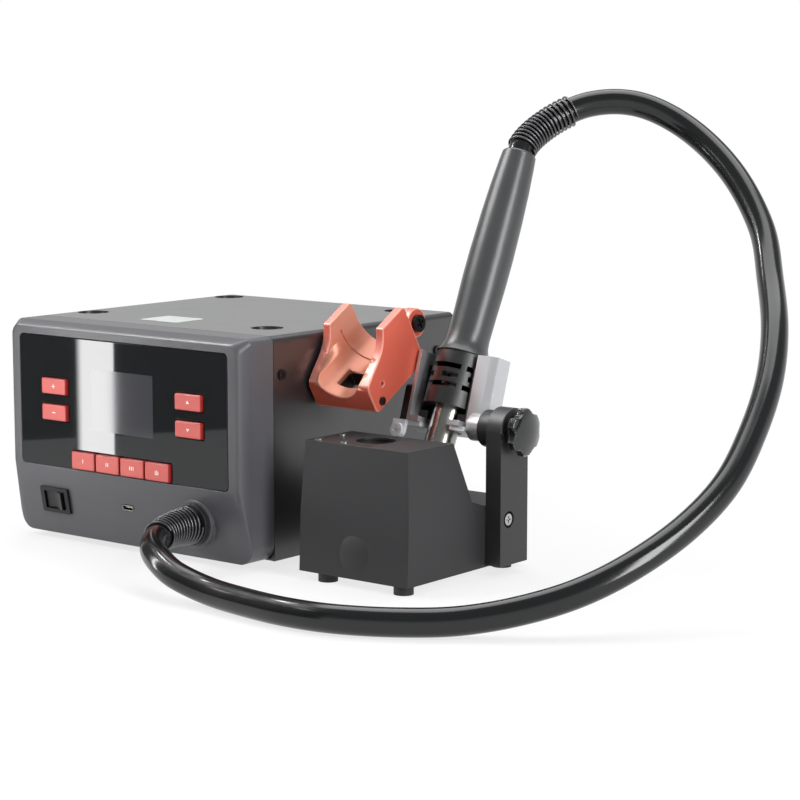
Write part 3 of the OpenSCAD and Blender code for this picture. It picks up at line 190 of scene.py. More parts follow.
class Shader(Nodes):
    """Builds the nodes of one material."""

    def __init__(self, name: str) -> None:
        """Makes a material with its Principled surface.

        Args:
            name: name of the material.
        """
        self.material = bpy.data.materials.new(name)
        self.material.use_nodes = True
        super().__init__(self.material.node_tree)
        self.surface = self.tree.nodes["Principled BSDF"]
        self.place = self.node("TexCoord", {}, {}, "Object")

    def axis(self, index: int) -> Value:
        """One coordinate of the surface point, in bench millimetres."""
        metres = self.node("SeparateXYZ", {}, {0: self.place}, index)
        return metres * (1 / MM) + BENCH[index]

    def noise(self, size: float, detail: float = 2.0, stretch: Point = (1.0, 1.0, 1.0)) -> Value:
        """Smooth noise from 0 to 1.

        Args:
            size: size of its features in millimetres.
            detail: how many finer layers are added.
            stretch: scale of the pattern along each axis.

        Returns:
            The noise.
        """
        place = self.node("VectorMath", {"operation": "MULTIPLY"}, {0: self.place, 1: stretch})
        inputs = {"Vector": place, "Scale": 1 / (size * MM), "Detail": detail}
        return self.node("TexNoise", {}, inputs)

    def mix(self, share: Value | float, first: Colour | Value, second: Colour | Value) -> Value:
        """Colour between two others."""
        ends = [c if isinstance(c, Value) else (*c, 1.0) for c in (first, second)]
        return self.node("Mix", {"data_type": "RGBA"}, {0: share, 6: ends[0], 7: ends[1]}, 2)

    def laid(self) -> Value:
        """The colour that the surface has so far."""
        return Value(self, self.surface.inputs["Base Color"].links[0].from_socket)

    def emission(self, glow: float) -> Value:
        """A surface that gives white light of that strength."""
        return self.node("Emission", {}, {"Color": WHITE, "Strength": glow})

    def set(self, **sockets: "Value | float | Colour") -> None:
        """Sets or links the surface's sockets.

        Args:
            sockets: values by the socket's name, with underscores for spaces.
        """
        for name, value in sockets.items():
            socket = self.surface.inputs[name.replace("_", " ")]
            if isinstance(value, Value):
                self.tree.links.new(value.socket, socket)
            else:
                socket.default_value = (*value, 1.0) if isinstance(value, tuple) else value

    def relief(self, height: Value, depth: float) -> None:
        """Bump of that depth in millimetres on the surface's normal."""
        inputs = {"Height": height, "Strength": 1.0, "Distance": depth * MM}
        self.set(Normal=self.node("Bump", {}, inputs))


@dataclass(frozen=True)
class Finish:
    """A surface finish: mottled colour, fine grain and a relief of real depth.

    Lengths are in millimetres.
    """

    name: str
    colour: Colour
    mottled: Colour
    roughness: float = 0.5
    uneven: float = 0.08
    metallic: float = 0.0
    mottle: float = 22.0
    grain: float = 0.7
    depth: float = 0.012
    coat: float = 0.0
    coat_roughness: float = 0.03
    specular: float = 0.5

    @functools.cache
    def material(self) -> bpy.types.Material:
        """Makes the finish's material once.

        Returns:
            The material.
        """
        shader = Shader(self.name + "_finish")
        self.paint(shader)
        return shader.material

    def paint(self, shader: Shader) -> None:
        """Lays colour, gloss and relief.

        Args:
            shader: nodes of the material.
        """
        cloud = shader.noise(self.mottle, detail=3.0)
        grain = shader.noise(self.grain, detail=1.0)
        shader.set(
            Base_Color=shader.mix(cloud, self.colour, self.mottled),
            Roughness=self.roughness + (cloud + grain - 1.0) * self.uneven,
            Metallic=self.metallic,
            Specular_IOR_Level=self.specular,
            Coat_Weight=self.coat,
            Coat_Roughness=self.coat_roughness,
        )
        shader.relief(grain, self.depth)


@dataclass(frozen=True)
class Brushed(Finish):
    """Metal with fine lines along one axis."""

    lines: Point = (1.0, 1.0, 0.03)
    drawn: float = 0.6

    def paint(self, shader: Shader) -> None:
        """Lays drawn lines over the finish.

        Args:
            shader: nodes of the material.
        """
        lines = shader.noise(self.grain, stretch=self.lines)
        cloud = shader.noise(self.mottle)
        share = lines * self.drawn + cloud * (1 - self.drawn)
        shader.set(
            Base_Color=shader.mix(share, self.colour, self.mottled),
            Roughness=self.roughness + (lines - 0.5) * self.uneven * 2,
            Metallic=self.metallic,
            Coat_Weight=self.coat,
        )
        shader.relief(lines, self.depth)


@dataclass(frozen=True)
class FrontGlass(Finish):
    """Black printed glass with the display's clearer window in it.

    The window is its left, right, lower and upper side, in bench millimetres.
    """

    window: Box = (70.0, 120.0, 71.0, 107.0)
    window_colour: Colour = (0.05, 0.05, 0.056)
    film: float = 0.04

    def paint(self, shader: Shader) -> None:
        """Lays the print, the display window and its antiglare film.

        Args:
            shader: nodes of the material.
        """
        left, right, low, high = self.window
        x, z = shader.axis(0), shader.axis(2)
        inside = (x > left) * (x < right) * (z > low) * (z < high)
        cloud = shader.noise(self.mottle)
        grain = shader.noise(self.grain, detail=1.0)
        printed = shader.mix(cloud, self.colour, self.mottled)
        shader.set(
            Base_Color=shader.mix(inside, printed, self.window_colour),
            Roughness=self.roughness + cloud * self.uneven + inside * self.film,
            Specular_IOR_Level=self.specular,
            Coat_Weight=self.coat,
        )
        shader.relief(grain, self.depth)


@dataclass(frozen=True)
class HotSteel(Brushed):
    """Polished barrel steel, tinted by heat towards its mouth."""

    tint: Colour = (0.32, 0.22, 0.12)
    cool_height: float = 88.0
    hot_height: float = 42.0
    tint_share: float = 0.3

    def paint(self, shader: Shader) -> None:
        """Lays the drawn steel, then the heat tint by height.

        Args:
            shader: nodes of the material.
        """
        super().paint(shader)
        heat = shader.axis(2).step(self.cool_height, self.hot_height)
        shader.set(Base_Color=shader.mix(heat * self.tint_share, shader.laid(), self.tint))


@dataclass(frozen=True)
class Anodised(Finish):
    """Red anodised aluminium with a painted reflection in its bore, a painted highlight on its forward brows
    and painted shade in its window.

    The places are the holder's own: its lower corner on the bench, its lean in degrees, the bore's
    middle and radius, and the window's half width, near end, far end and height. A facing is how far
    the surface's normal points up or forward, from -1 to 1.
    """

    # The bore colour is a painted reflection, the brow colour a painted highlight and the window colour
    # painted shade.
    bore: Colour = (0.55, 0.28, 0.19)
    brow_highlight: Colour = (0.86, 0.52, 0.46)
    window_shade: Colour = (0.02, 0.014, 0.012)
    corner: Point = (190.0, 55.5, 88.4)
    lean: float = 31.0
    middle: float = 22.0
    bore_radius: float = 16.5
    window: Box = (9.3, 8.8, 22.2, 9.3)
    bore_edge: float = 0.3
    bore_facing: float = -0.2
    bore_share: float = 0.75
    brow_forward: Pair = (0.3, 0.6)
    brow_up: Pair = (-0.1, 0.5)
    brow_share: float = 0.35
    window_facing: float = -0.6

    def paint(self, shader: Shader) -> None:
        """Lays the dye, then the bore's painted reflection, the brows' painted highlight and the window's
        painted shade, by place and facing.

        Args:
            shader: nodes of the material.
        """
        super().paint(shader)
        normal = shader.node("TexCoord", {}, {}, "Normal")
        facing_y, facing_z = (shader.node("SeparateXYZ", {}, {0: normal}, i) for i in (1, 2))
        back, up = shader.axis(1) - self.corner[1], shader.axis(2) - self.corner[2]
        cosine, sine = math.cos(math.radians(self.lean)), math.sin(math.radians(self.lean))
        along, high = back * cosine + up * sine, up * cosine - back * sine
        aside = (shader.axis(0) - (self.corner[0] + self.middle)).math("ABSOLUTE")
        # Painted reflection: bore faces that don't face down turn pale bronze.
        inner = (aside < self.bore_radius + self.bore_edge) * (facing_z > self.bore_facing)
        colour = shader.mix(inner * self.bore_share, shader.laid(), self.bore)
        # Painted highlight: faces turned forward and up, outside the bore, turn pale pink.
        forward = (facing_y * -1.0).step(*self.brow_forward) * facing_z.step(*self.brow_up)
        colour = shader.mix(forward * (1.0 - inner) * self.brow_share, colour, self.brow_highlight)
        # Painted shade: the window's inner walls turn near black.
        half, near, far, deep = self.window
        hole = (aside < half) * (along > near) * (along < far) * (high < deep)
        hole = hole * (facing_z > self.window_facing)
        shader.set(Base_Color=shader.mix(hole, colour, self.window_shade))


@dataclass(frozen=True)
class CircuitBoard(Finish):
    """Green solder mask with copper runs under it."""

    copper: Colour = (0.06, 0.22, 0.10)
    runs: float = 60.0
    gap: float = 0.03
    thickness: float = 0.03

    def paint(self, shader: Shader) -> None:
        """Lays the mask and the copper runs.

        Args:
            shader: nodes of the material.
        """
        inputs = {"Vector": shader.place, "Scale": self.runs, "Mortar Size": self.gap}
        pattern = shader.node("TexBrick", {}, inputs, "Fac")
        grain = shader.noise(self.grain, detail=1.0)
        shader.set(
            Base_Color=shader.mix(pattern, self.colour, self.copper),
            Roughness=self.roughness + grain * self.uneven,
            Coat_Weight=self.coat,
        )
        shader.relief(pattern, self.thickness)


@dataclass(frozen=True)
class FloorPaint(Finish):
    """Pale floor that shows nearly white, and quite white away from the part.

    The fade's two distances from the part's middle are in metres.
    """

    glow: float = 0.74
    fade: Pair = (0.3, 0.75)

    def paint(self, shader: Shader) -> None:
        """Lays the floor's colour, then the white that the camera and reflections see.

        Args:
            shader: nodes of the material.
        """
        cloud = shader.noise(self.mottle, detail=3.0)
        shader.set(
            Base_Color=shader.mix(cloud, self.colour, self.mottled),
            Roughness=self.roughness + cloud * self.uneven,
            Specular_IOR_Level=self.specular,
        )
        seen = shader.ray("Camera").math("MAXIMUM", shader.ray("Glossy"))
        seen = seen.math("MAXIMUM", shader.ray("Transmission"))
        away = shader.node("VectorMath", {"operation": "LENGTH"}, {0: shader.place}, 1)
        share = seen * (self.glow + away.step(*self.fade) * (1 - self.glow))
        paint = Value(shader, shader.surface.outputs[0])
        shader.show(shader.node("MixShader", {}, {0: share, 1: paint, 2: shader.emission(1.0)}))


CASE_PAINT = Finish(
    "case_paint", srgb("161618"), srgb("1b1b1d"), 0.34, 0.05,
    grain=0.5, depth=0.008, coat=0.4, coat_roughness=0.3, specular=0.75,
)  # fmt: skip
FRAME_PLASTIC = Finish("frame_plastic", srgb("4a494d"), srgb("504f53"), 0.4, 0.05, grain=0.3, depth=0.006)
FRONT_GLASS = FrontGlass(
    "front_glass", srgb("181a1b"), srgb("1b1d1e"), 0.03, 0.01, grain=30.0, depth=0.003, specular=0.4
)
DISPLAY_FILM = Finish("display", srgb("3a3c40"), srgb("414348"), 0.3, grain=0.2, depth=0.002)
CORAL = Finish("key_coral", srgb("c64c43"), srgb("ca544b"), 0.45, 0.05, mottle=6.0, grain=0.25, depth=0.006)
# Dark red for the keys' sides: painted shade round each key.
CORAL_SIDE_SHADE = Finish(
    "key_side_shade", srgb("9c1c18"), srgb("8a1714"), 0.35, 0.05, mottle=6.0, grain=0.25, depth=0.006
)
KEY_MARK = Finish("key_mark", srgb("f4d8d2"), srgb("fbe6e0"), 0.5, grain=0.2, depth=0.004)
SWITCH_PLASTIC = Finish(
    "switch_plastic", srgb("0b0b0c"), srgb("101011"), 0.34, 0.05, grain=0.4, depth=0.008, specular=0.35
)
LABEL_PLATE = Finish("label_plate", srgb("b9bdb9"), srgb("c6cac6"), 0.45, 0.06, grain=0.3, depth=0.005)
BOARD = CircuitBoard("board", srgb("0d3f24"), srgb("11492b"), 0.4, 0.05, coat=0.4)
BLACK_PLASTIC = Finish("black_plastic", srgb("1b1b1c"), srgb("242426"), 0.38, 0.06, grain=0.4, depth=0.008)
KNOB_PLASTIC = Finish(
    "knob_plastic", srgb("0c0d0e"), srgb("121415"), 0.14, 0.04, grain=3.0, depth=0.004, coat=0.4, specular=0.6
)
# Lighter grey for the knob's bevelled edges: a painted highlight on the black knob.
KNOB_EDGE_HIGHLIGHT = Finish("knob_highlight_edge", srgb("3c3e40"), srgb("46484a"), 0.12, 0.04, grain=3.0, depth=0.004, coat=0.6)
IMPELLER_PLASTIC = Finish("impeller_plastic", srgb("2c2d30"), srgb("333438"), 0.45, grain=0.5)
PLAIN_STEEL = Brushed("plain_steel", srgb("b9b6b0"), srgb("a19d97"), 0.28, 0.08, 1.0, depth=0.004)
BARREL_STEEL = HotSteel(
    "barrel_steel", srgb("a3a29e"), srgb("8c8b87"), 0.25, 0.05, 1.0, grain=0.5, depth=0.003
)
SCREW_STEEL = Finish("screw_steel", srgb("c4c4c6"), srgb("aaaaad"), 0.25, 0.08, 1.0, grain=0.3, depth=0.004)
BLACK_SCREWS = Finish("black_screws", srgb("1c1c1e"), srgb("28282a"), 0.35, 0.1, 0.6, grain=0.3)
SPRING_STEEL = Finish(
    "spring_steel", srgb("58585a"), srgb("646365"), 0.28, 0.06, 0.9, mottle=3.0, grain=0.4, depth=0.002
)
ALUMINIUM = Finish("aluminium", srgb("cfd0d2"), srgb("c0c1c4"), 0.38, 0.05, 0.8, grain=0.25, depth=0.005)
FOOT_PLATE = Finish("foot_plate", srgb("e2e4e6"), srgb("d4d6d8"), 0.42, 0.06, 0.35, grain=0.3, depth=0.006)
# Near white for the cradle channel's bevelled edges: a painted highlight.
ALUMINIUM_EDGE_HIGHLIGHT = Finish("aluminium_edge_highlight", srgb("f0f0f2"), srgb("dcdce0"), 0.25, 0.05, 0.6, grain=0.4)
RED_ANODISED = Anodised(
    "red_anodised", srgb("d9604b"), srgb("df6a55"), 0.36, 0.05, 0.4, grain=0.22, depth=0.006
)
# Paler red for the holder's bevelled edges: the machined edge with a painted highlight on it.
RED_EDGE_HIGHLIGHT = Anodised("red_machined_highlight", srgb("d9806f"), srgb("de8e7e"), 0.42, 0.05, 0.2, grain=0.3, depth=0.004)
STAND_PAINT = Finish(
    "stand_paint", srgb("2b2b2c"), srgb("2f2f31"), 0.5, 0.07, grain=0.45, depth=0.02, specular=0.3
)
# Near black for the front cap's bevelled rim: a painted shadow ring round the cap.
CAP_RIM_SHADE = Finish("cap_shade_edge", srgb("101011"), srgb("151516"), 0.42, 0.07, grain=0.45, depth=0.015)
ARM_PAINT = Finish("arm_paint", srgb("222122"), srgb("262526"), 0.42, 0.07, grain=0.45, depth=0.015)
RUBBER = Finish("rubber", srgb("191919"), srgb("202020"), 0.62, grain=0.5, depth=0.02)
GRIP_RUBBER = Finish("grip_rubber", srgb("3b3c3d"), srgb("434445"), 0.31, 0.04, grain=0.25, depth=0.006)
HOSE_RUBBER = Finish(
    "hose_rubber", srgb("0e0f10"), srgb("141516"), 0.16, 0.04, mottle=60.0, grain=4.0, depth=0.004
)
CERAMIC = Finish("ceramic", srgb("e2dccb"), srgb("d6ceb8"), 0.6, grain=0.4, depth=0.02)
MICA = Finish("mica", srgb("b59a6c"), srgb("c9b184"), 0.35, 0.1, mottle=4.0, grain=0.8)
FLOOR = FloorPaint(
    "pale_floor", (0.86, 0.86, 0.86), (0.89, 0.89, 0.89), 0.85, 0.05, mottle=180.0, specular=0.1
)


class Piece:
    """Collects faces, in metres, and turns them into one object."""

    def __init__(self, name: str, *finishes: Finish) -> None:
        """Starts an empty mesh.

        Args:
            name: name of the piece.
            finishes: what its faces may take.
        """
        self.name = name
        self.finishes = finishes
        self.mesh = bmesh.new()

    def loft(self, rings: Sequence[Sequence[Vector]], finish: int = 0, caps: bool = True) -> None:
        """Joins rings of points, in order.

        Args:
            rings: closed rings with the same number of points, in metres.
            finish: which finish the faces take.
            caps: whether the first and last ring are filled.
        """
        verts = [[self.mesh.verts.new(p) for p in ring] for ring in rings]
        faces = []
        for a, b in zip(verts, verts[1:]):
            for i in range(len(a)):
                j = (i + 1) % len(a)
                faces.append(self.mesh.faces.new((a[i], a[j], b[j], b[i])))
        if caps:
            faces.append(self.mesh.faces.new(verts[0][::-1]))
            faces.append(self.mesh.faces.new(verts[-1]))
        for face in faces:
            face.material_index = finish

    def make(self, angle: float = 35.0) -> bpy.types.Object:
        """Ends the mesh.

        Args:
            angle: edges sharper than this many degrees stay crisp.

        Returns:
            The new object, linked to the scene.
        """
        bmesh.ops.recalc_face_normals(self.mesh, faces=self.mesh.faces)
        for edge in self.mesh.edges:
            edge.smooth = len(edge.link_faces) == 2 and edge.calc_face_angle(0.0) < math.radians(angle)
        for face in self.mesh.faces:
            face.smooth = True
        data = bpy.data.meshes.new(self.name)
        self.mesh.to_mesh(data)
        self.mesh.free()
        for finish in self.finishes:
            data.materials.append(finish.material())
        made = bpy.data.objects.new(self.name, data)
        bpy.context.scene.collection.objects.link(made)
        return made


def outline(width: float, height: float, radius: float, steps: int = 5) -> list[Pair]:
    """Rounded rectangle about the origin.

    Args:
        width: full width in millimetres.
        height: full height in millimetres.
        radius: corner radius in millimetres.
        steps: pieces in each corner.

    Returns:
        Points of the outline, anticlockwise.
    """
    across, up = width / 2 - radius, height / 2 - radius
    points = []
    for turn, (x, y) in enumerate(((across, up), (-across, up), (-across, -up), (across, -up))):
        for i in range(steps + 1):
            a = math.pi / 2 * (turn + i / steps)
            points.append((x + radius * math.cos(a), y + radius * math.sin(a)))
    return points


def dress(
    node: str,
    finish: Finish,
    bevel: float = 0.0,
    edge: Finish | None = None,
    angle: float = 34.0,
    segments: int = 2,
    whole: bool = False,
) -> str:
    """Gives a CAD node its finish and softens its edges.

    Args:
        node: name of the CAD node.
        finish: finish of its faces.
        bevel: width of the softened edges in millimetres, or 0 for none.
        edge: finish of the softened edges, if they have their own.
        angle: edges sharper than this many degrees are softened.
        segments: steps across a softened edge.
        whole: whether each edge gets the width that its own flats leave free, not one width for all.

    Returns:
        The node's name.
    """
    made = frame["nodes"][node]
    made.data.materials.clear()
    for part in (finish, edge or finish):
        made.data.materials.append(part.material())
    for polygon in made.data.polygons:
        polygon.material_index = 0
        polygon.use_smooth = True
    if not bevel:
        return node
    weld = made.modifiers.new("weld", "WELD")
    weld.merge_threshold = SEAM
    if whole:
        flat = made.modifiers.new("whole flats", "DECIMATE")
        flat.decimate_type = "DISSOLVE"
        flat.angle_limit = EdgeWidths.flat
        EdgeWidths(made, bevel * MM, math.radians(angle)).apply()
    soft = made.modifiers.new("soft edges", "BEVEL")
    soft.width = bevel * MM
    soft.segments = segments
    soft.limit_method = "WEIGHT" if whole else "ANGLE"
    soft.angle_limit = math.radians(angle)
    soft.material = 1
    soft.use_clamp_overlap = not whole
    soft.face_strength_mode = "FSTR_ALL"
    even = made.modifiers.new("even normals", "WEIGHTED_NORMAL")
    even.mode = "FACE_AREA_WITH_ANGLE"
    even.use_face_influence = True
    return node


class EdgeWidths:
    """Works out how wide each sharp edge of a CAD node can be softened without running into the next.

    flat is the largest bend, in radians, inside one flat. Of the free room, a softened edge takes
    the share beside_sharp where another softened edge bounds it, and else beside_plain. Below the
    share least of the full width an edge stays sharp.
    """

    flat: float = math.radians(0.5)
    beside_sharp: float = 0.47
    beside_plain: float = 0.94
    least: float = 0.3
    same: float = 0.001 * MM
    touching: float = 0.0001 * MM

    def __init__(self, made: bpy.types.Object, width: float, angle: float) -> None:
        """Reads the node's mesh.

        Args:
            made: the node's object.
            width: the full width, in metres.
            angle: edges sharper than this many radians count.
        """
        self.made = made
        self.width = width
        self.angle = angle
        self.mesh = bmesh.new()
        self.mesh.from_mesh(made.data)
        bmesh.ops.remove_doubles(self.mesh, verts=self.mesh.verts, dist=self.same)
        self.bends = {e: e.calc_face_angle(0.0) for e in self.mesh.edges if len(e.link_faces) == 2}

    def flats(self) -> dict[bmesh.types.BMFace, list[bmesh.types.BMEdge]]:
        """Gathers the faces into flats.

        Returns:
            For each face, the border edges of the flat that it is part of.
        """
        borders: dict[bmesh.types.BMFace, list[bmesh.types.BMEdge]] = {}
        for start in self.mesh.faces:
            if start in borders:
                continue
            border: list[bmesh.types.BMEdge] = []
            borders[start] = border
            todo = [start]
            while todo:
                for edge in todo.pop().edges:
                    if self.bends.get(edge, 1.0) > self.flat:
                        border.append(edge)
                        continue
                    for face in edge.link_faces:
                        if face not in borders:
                            borders[face] = border
                            todo.append(face)
        return borders

    def room(
        self, edge: bmesh.types.BMEdge, face: bmesh.types.BMFace, border: list[bmesh.types.BMEdge]
    ) -> float:
        """Width that a flat leaves free beside one of its edges.

        Args:
            edge: the edge.
            face: the face beside it.
            border: the border edges of that face's flat.

        Returns:
            The free width in metres.
        """
        a, b = (v.co for v in edge.verts)
        middle = (a + b) / 2
        run = (b - a).normalized()
        inward = face.normal.cross(run)
        if inward.dot(face.calc_center_median() - middle) < 0:
            inward.negate()
        free = self.width
        for other in border:
            if other is edge:
                continue
            c, d = (v.co - middle for v in other.verts)
            c_run, d_run = c.dot(run), d.dot(run)
            if c_run * d_run > 0 or c_run == d_run:
                continue
            reach = c.dot(inward) + (d - c).dot(inward) * c_run / (c_run - d_run)
            if reach > self.touching:
                sharp = self.bends.get(other, 1.0) > self.angle
                free = min(free, reach * (self.beside_sharp if sharp else self.beside_plain))
        return free

    def apply(self) -> None:
        """Writes each sharp edge's share of the width where the bevel reads it."""
        borders = self.flats()
        shares = {}
        for edge, bend in self.bends.items():
            if bend > self.angle:
                free = min(self.room(edge, face, borders[face]) for face in edge.link_faces)
                share = free / self.width
                shares[self.ends(*edge.verts)] = share if share > self.least else 0.0
        self.mesh.free()
        layer = self.made.data.attributes.new("bevel_weight_edge", "FLOAT", "EDGE")
        verts = self.made.data.vertices
        for edge in self.made.data.edges:
            ends = self.ends(*(verts[i] for i in edge.vertices))
            layer.data[edge.index].value = shares.get(ends, 0.0)

    @staticmethod
    def ends(*verts: bmesh.types.BMVert | bpy.types.MeshVertex) -> frozenset[tuple[float, ...]]:
        """Places of an edge's ends, to a thousandth of a millimetre and in any order."""
        return frozenset(tuple(round(c, 6) for c in vert.co) for vert in verts)


@dataclass(frozen=True)
class Coil:
    """A coil spring round the hose.

    Its span is counted in the hose's route points, from the first or, below 0, back from the last.
    """

    name: str
    span: Pair
    radii: Pair
    turns: int
    wire: float = 1.4
    steps: int = 28
    sides: int = 8


@dataclass
class HoseLine:
    """The air hose and the coil springs round its two ends.

    The route's points are steps from the outlet, from the foot of the stand's pivot and, at last,
    from the end of the handle. A place on the line is counted in route points.
    """

    diameter: float = 15.0
    sides: int = 40
    steps: int = 10
    front_coil: Coil = Coil("front_coil", (0.2, 1.95), (10.5, 8.3), 11)
    handle_coil: Coil = Coil("handle_coil", (-0.13, -1.63), (8.45, 8.65), 15)
    outlet: Point = (150.0, 0.0, 25.0)
    pivot: Point = (254.5, 91.0, 81.0)
    handle_length: float = 166.0
    handle_lean: float = 25.3
    lead_in_depth: float = 12.0
    seat: float = -6.0
    lay: float = 8.0
    lead_out_step: Point = (8.0, -10.0, -22.0)
    bend_height: float = 45.0
    bend_end: float = 6.0
    aside: Point = (0.0, 0.8, -0.6)
    nudge: float = 0.01
    from_outlet: tuple[Point, ...] = ((1, -24, 0), (7, -42, -1), (18, -57, -3), (32, -67, -6))
    on_table: tuple[Point, ...] = ((50, -73, 6), (75, -74, 1), (104, -78, 0), (135, -81, 0))
    round_stand: tuple[Point, ...] = (
        (60, -77, 8), (89, -63, 8), (113, -45, 9), (136, -26, 14), (156, -4, 22), (172, 21, 34),
        (184, 51, 50), (190, 80, 69), (188, 109, 92), (182, 136, 116), (170, 162, 140), (151, 190, 164),
    )  # fmt: skip
    to_handle: tuple[Point, ...] = (
        (131, 52, -40), (103, 66, -10), (71, 70, 14), (43, 60, 28), (20, 42, 28), (4, 20, 16), (0, 0, 0),
    )  # fmt: skip

    def __post_init__(self) -> None:
        """Lays out the route, as the CAD does, from the outlet, the stand's pivot and the handle."""
        lean = math.radians(self.handle_lean)
        self.axis = Vector((0.0, math.sin(lean), math.cos(lean)))
        x, _, z = self.outlet
        px, _, pz = self.pivot
        end = Vector(self.pivot) + self.handle_length * self.axis
        self.route = [Vector((x, self.seat, z))]
        self.route += [Vector((x + a, b, z + c)) for a, b, c in self.from_outlet]
        self.route += [Vector((x + a, b, self.lay + c)) for a, b, c in self.on_table]
        self.route += [Vector((px + a, b, c)) for a, b, c in self.round_stand]
        self.route += [end + Vector(step) for step in self.to_handle]
        self.lead_in = Vector((x, self.lead_in_depth, z))
        self.lead_out = end + Vector(self.lead_out_step)

    @property
    def last(self) -> int:
        """Number of the route's last point."""
        return len(self.route) - 1

    def point(self, index: int) -> Vector:
        """Point of the route, or one of the two beyond its ends.

        Args:
            index: its number.

        Returns:
            The bench point.
        """
        if index < 0:
            return self.lead_in
        return self.route[index] if index <= self.last else self.lead_out

    def along(self, u: float) -> Vector:
        """Bench point on the hose's middle line.

        Args:
            u: place on the line.

        Returns:
            The point in millimetres.
        """
        i = min(math.floor(u), self.last - 1)
        t = u - i
        a, b, c, d = (self.point(i + k) for k in (-1, 0, 1, 2))
        return (2 * b + (c - a) * t + (2 * a - 5 * b + 4 * c - d) * t**2 + (3 * b - a - 3 * c + d) * t**3) / 2

    def heading(self, u: float) -> Vector:
        """Unit direction of the hose at a place on its line."""
        before, after = max(u - self.nudge, 0), min(u + self.nudge, self.last)
        return (self.along(after) - self.along(before)).normalized()

    def ring(
        self, centre: Vector, heading: Vector, aside: Vector, radius: float, sides: int
    ) -> list[Vector]:
        """Ring of points round a line.

        Args:
            centre: its middle, a bench point.
            heading: the direction that it faces.
            aside: a direction, at an angle to the heading, that its first point lies square to.
            radius: its radius in millimetres.
            sides: number of points.

        Returns:
            The points in metres.
        """
        side = heading.cross(aside).normalized()
        up = side.cross(heading)
        turns = (2 * math.pi * i / sides for i in range(sides))
        return [at(*(centre + radius * (math.cos(a) * side + math.sin(a) * up))) for a in turns]

    def coil_place(self, coil: Coil, f: float) -> float:
        """Place on the hose's line, where f runs from 0 to 1 along a coil."""
        start, end = (u if u >= 0 else self.last + u for u in coil.span)
        return start + (end - start) * f

    def coil_point(self, coil: Coil, f: float) -> Vector:
        """Point in the middle of a coil's wire.

        Args:
            coil: the coil.
            f: the share of its length, from 0 to 1.

        Returns:
            The bench point.
        """
        u = self.coil_place(coil, f)
        heading = self.heading(u)
        side = heading.cross(Vector(self.aside)).normalized()
        a = 2 * math.pi * coil.turns * f
        radius = coil.radii[0] + (coil.radii[1] - coil.radii[0]) * f
        return self.along(u) + radius * (math.cos(a) * side - math.sin(a) * heading.cross(side))

    def coil(self, coil: Coil) -> bpy.types.Object:
        """Builds one coil spring.

        Args:
            coil: its place and size.

        Returns:
            The spring.
        """
        total = coil.turns * coil.steps
        gap = 0.5 / total
        spring = Piece(coil.name, SPRING_STEEL)
        rings = []
        for i in range(total + 1):
            f = i / total
            here = self.coil_point(coil, f)
            heading = (self.coil_point(coil, f + gap) - self.coil_point(coil, f - gap)).normalized()
            out = (here - self.along(self.coil_place(coil, f))).normalized()
            rings.append(self.ring(here, heading, out, coil.wire / 2, coil.sides))
        spring.loft(rings)
        return spring.make(angle=60)

    def bend(self) -> tuple[Vector, Vector]:
        """Bench points, one above the other, below the hose's end: one at the bend height and one a little
        below the end.
        """
        top = self.along(self.last)
        return Vector((top.x, top.y, self.bend_height)), Vector((top.x, top.y, top.z - self.bend_end))

    def build(self) -> list[str]:
        """Returns:
            The pieces' names.
        """
        hose = Piece("air_hose", HOSE_RUBBER)
        rings, path = [], []
        for i in range(self.last * self.steps + 1):
            u = i / self.steps
            heading = self.heading(u)
            if i == 0:
                heading = Vector((0, -1, 0))
            elif i == self.last * self.steps:
                heading = -self.axis
            middle = self.along(u)
            rings.append(self.ring(middle, heading, Vector(self.aside), self.diameter / 2, self.sides))
            path.append(at(*middle))
        hose.loft(rings)
        tube = hose.make(angle=50)
        still, moved = self.bend()
        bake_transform(tube)
        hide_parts("hose")
        front = self.coil(self.front_coil)
        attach(front, "root")
        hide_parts("front_spring")
        rear = self.coil(self.handle_coil)
        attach(rear, "cradle")
        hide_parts("handle_spring")
        return [made.name for made in (tube, front, rear)]


def bar(x: float, z: float, width: float, height: float) -> list[Pair]:
    """Flat rectangle about a point, in millimetres."""
    half, rise = width / 2, height / 2
    return [(x - half, z - rise), (x + half, z - rise), (x + half, z + rise), (x - half, z + rise)]


def strokes(count: int, pitch: float = 1.5, width: float = 0.6, height: float = 2.2) -> list[list[Pair]]:
    """Upright bars side by side about the origin."""
    return [bar((i - (count - 1) / 2) * pitch, 0, width, height) for i in range(count)]


class KeyMark(Enum):
    """Mark on a key: closed outlines, in millimetres, about the key's middle."""

    PLUS = [bar(0, 0, 2.6, 0.5), bar(0, 0.8, 0.5, 1.0), bar(0, -0.8, 0.5, 1.0)]
    MINUS = [bar(0, 0, 2.6, 0.5)]
    UP = [[(-1.2, -0.7), (1.2, -0.7), (0, 1.1)]]
    DOWN = [[(0, -1.1), (1.2, 0.7), (-1.2, 0.7)]]
    ONE = strokes(1)
    TWO = strokes(2)
    THREE = strokes(3)
    STANDBY = [
        bar(0, 0.2, 0.5, 1.9),
        bar(-1.1, -0.3, 0.5, 1.7),
        bar(1.1, -0.3, 0.5, 1.7),
        bar(0, -1.3, 2.7, 0.5),
    ]


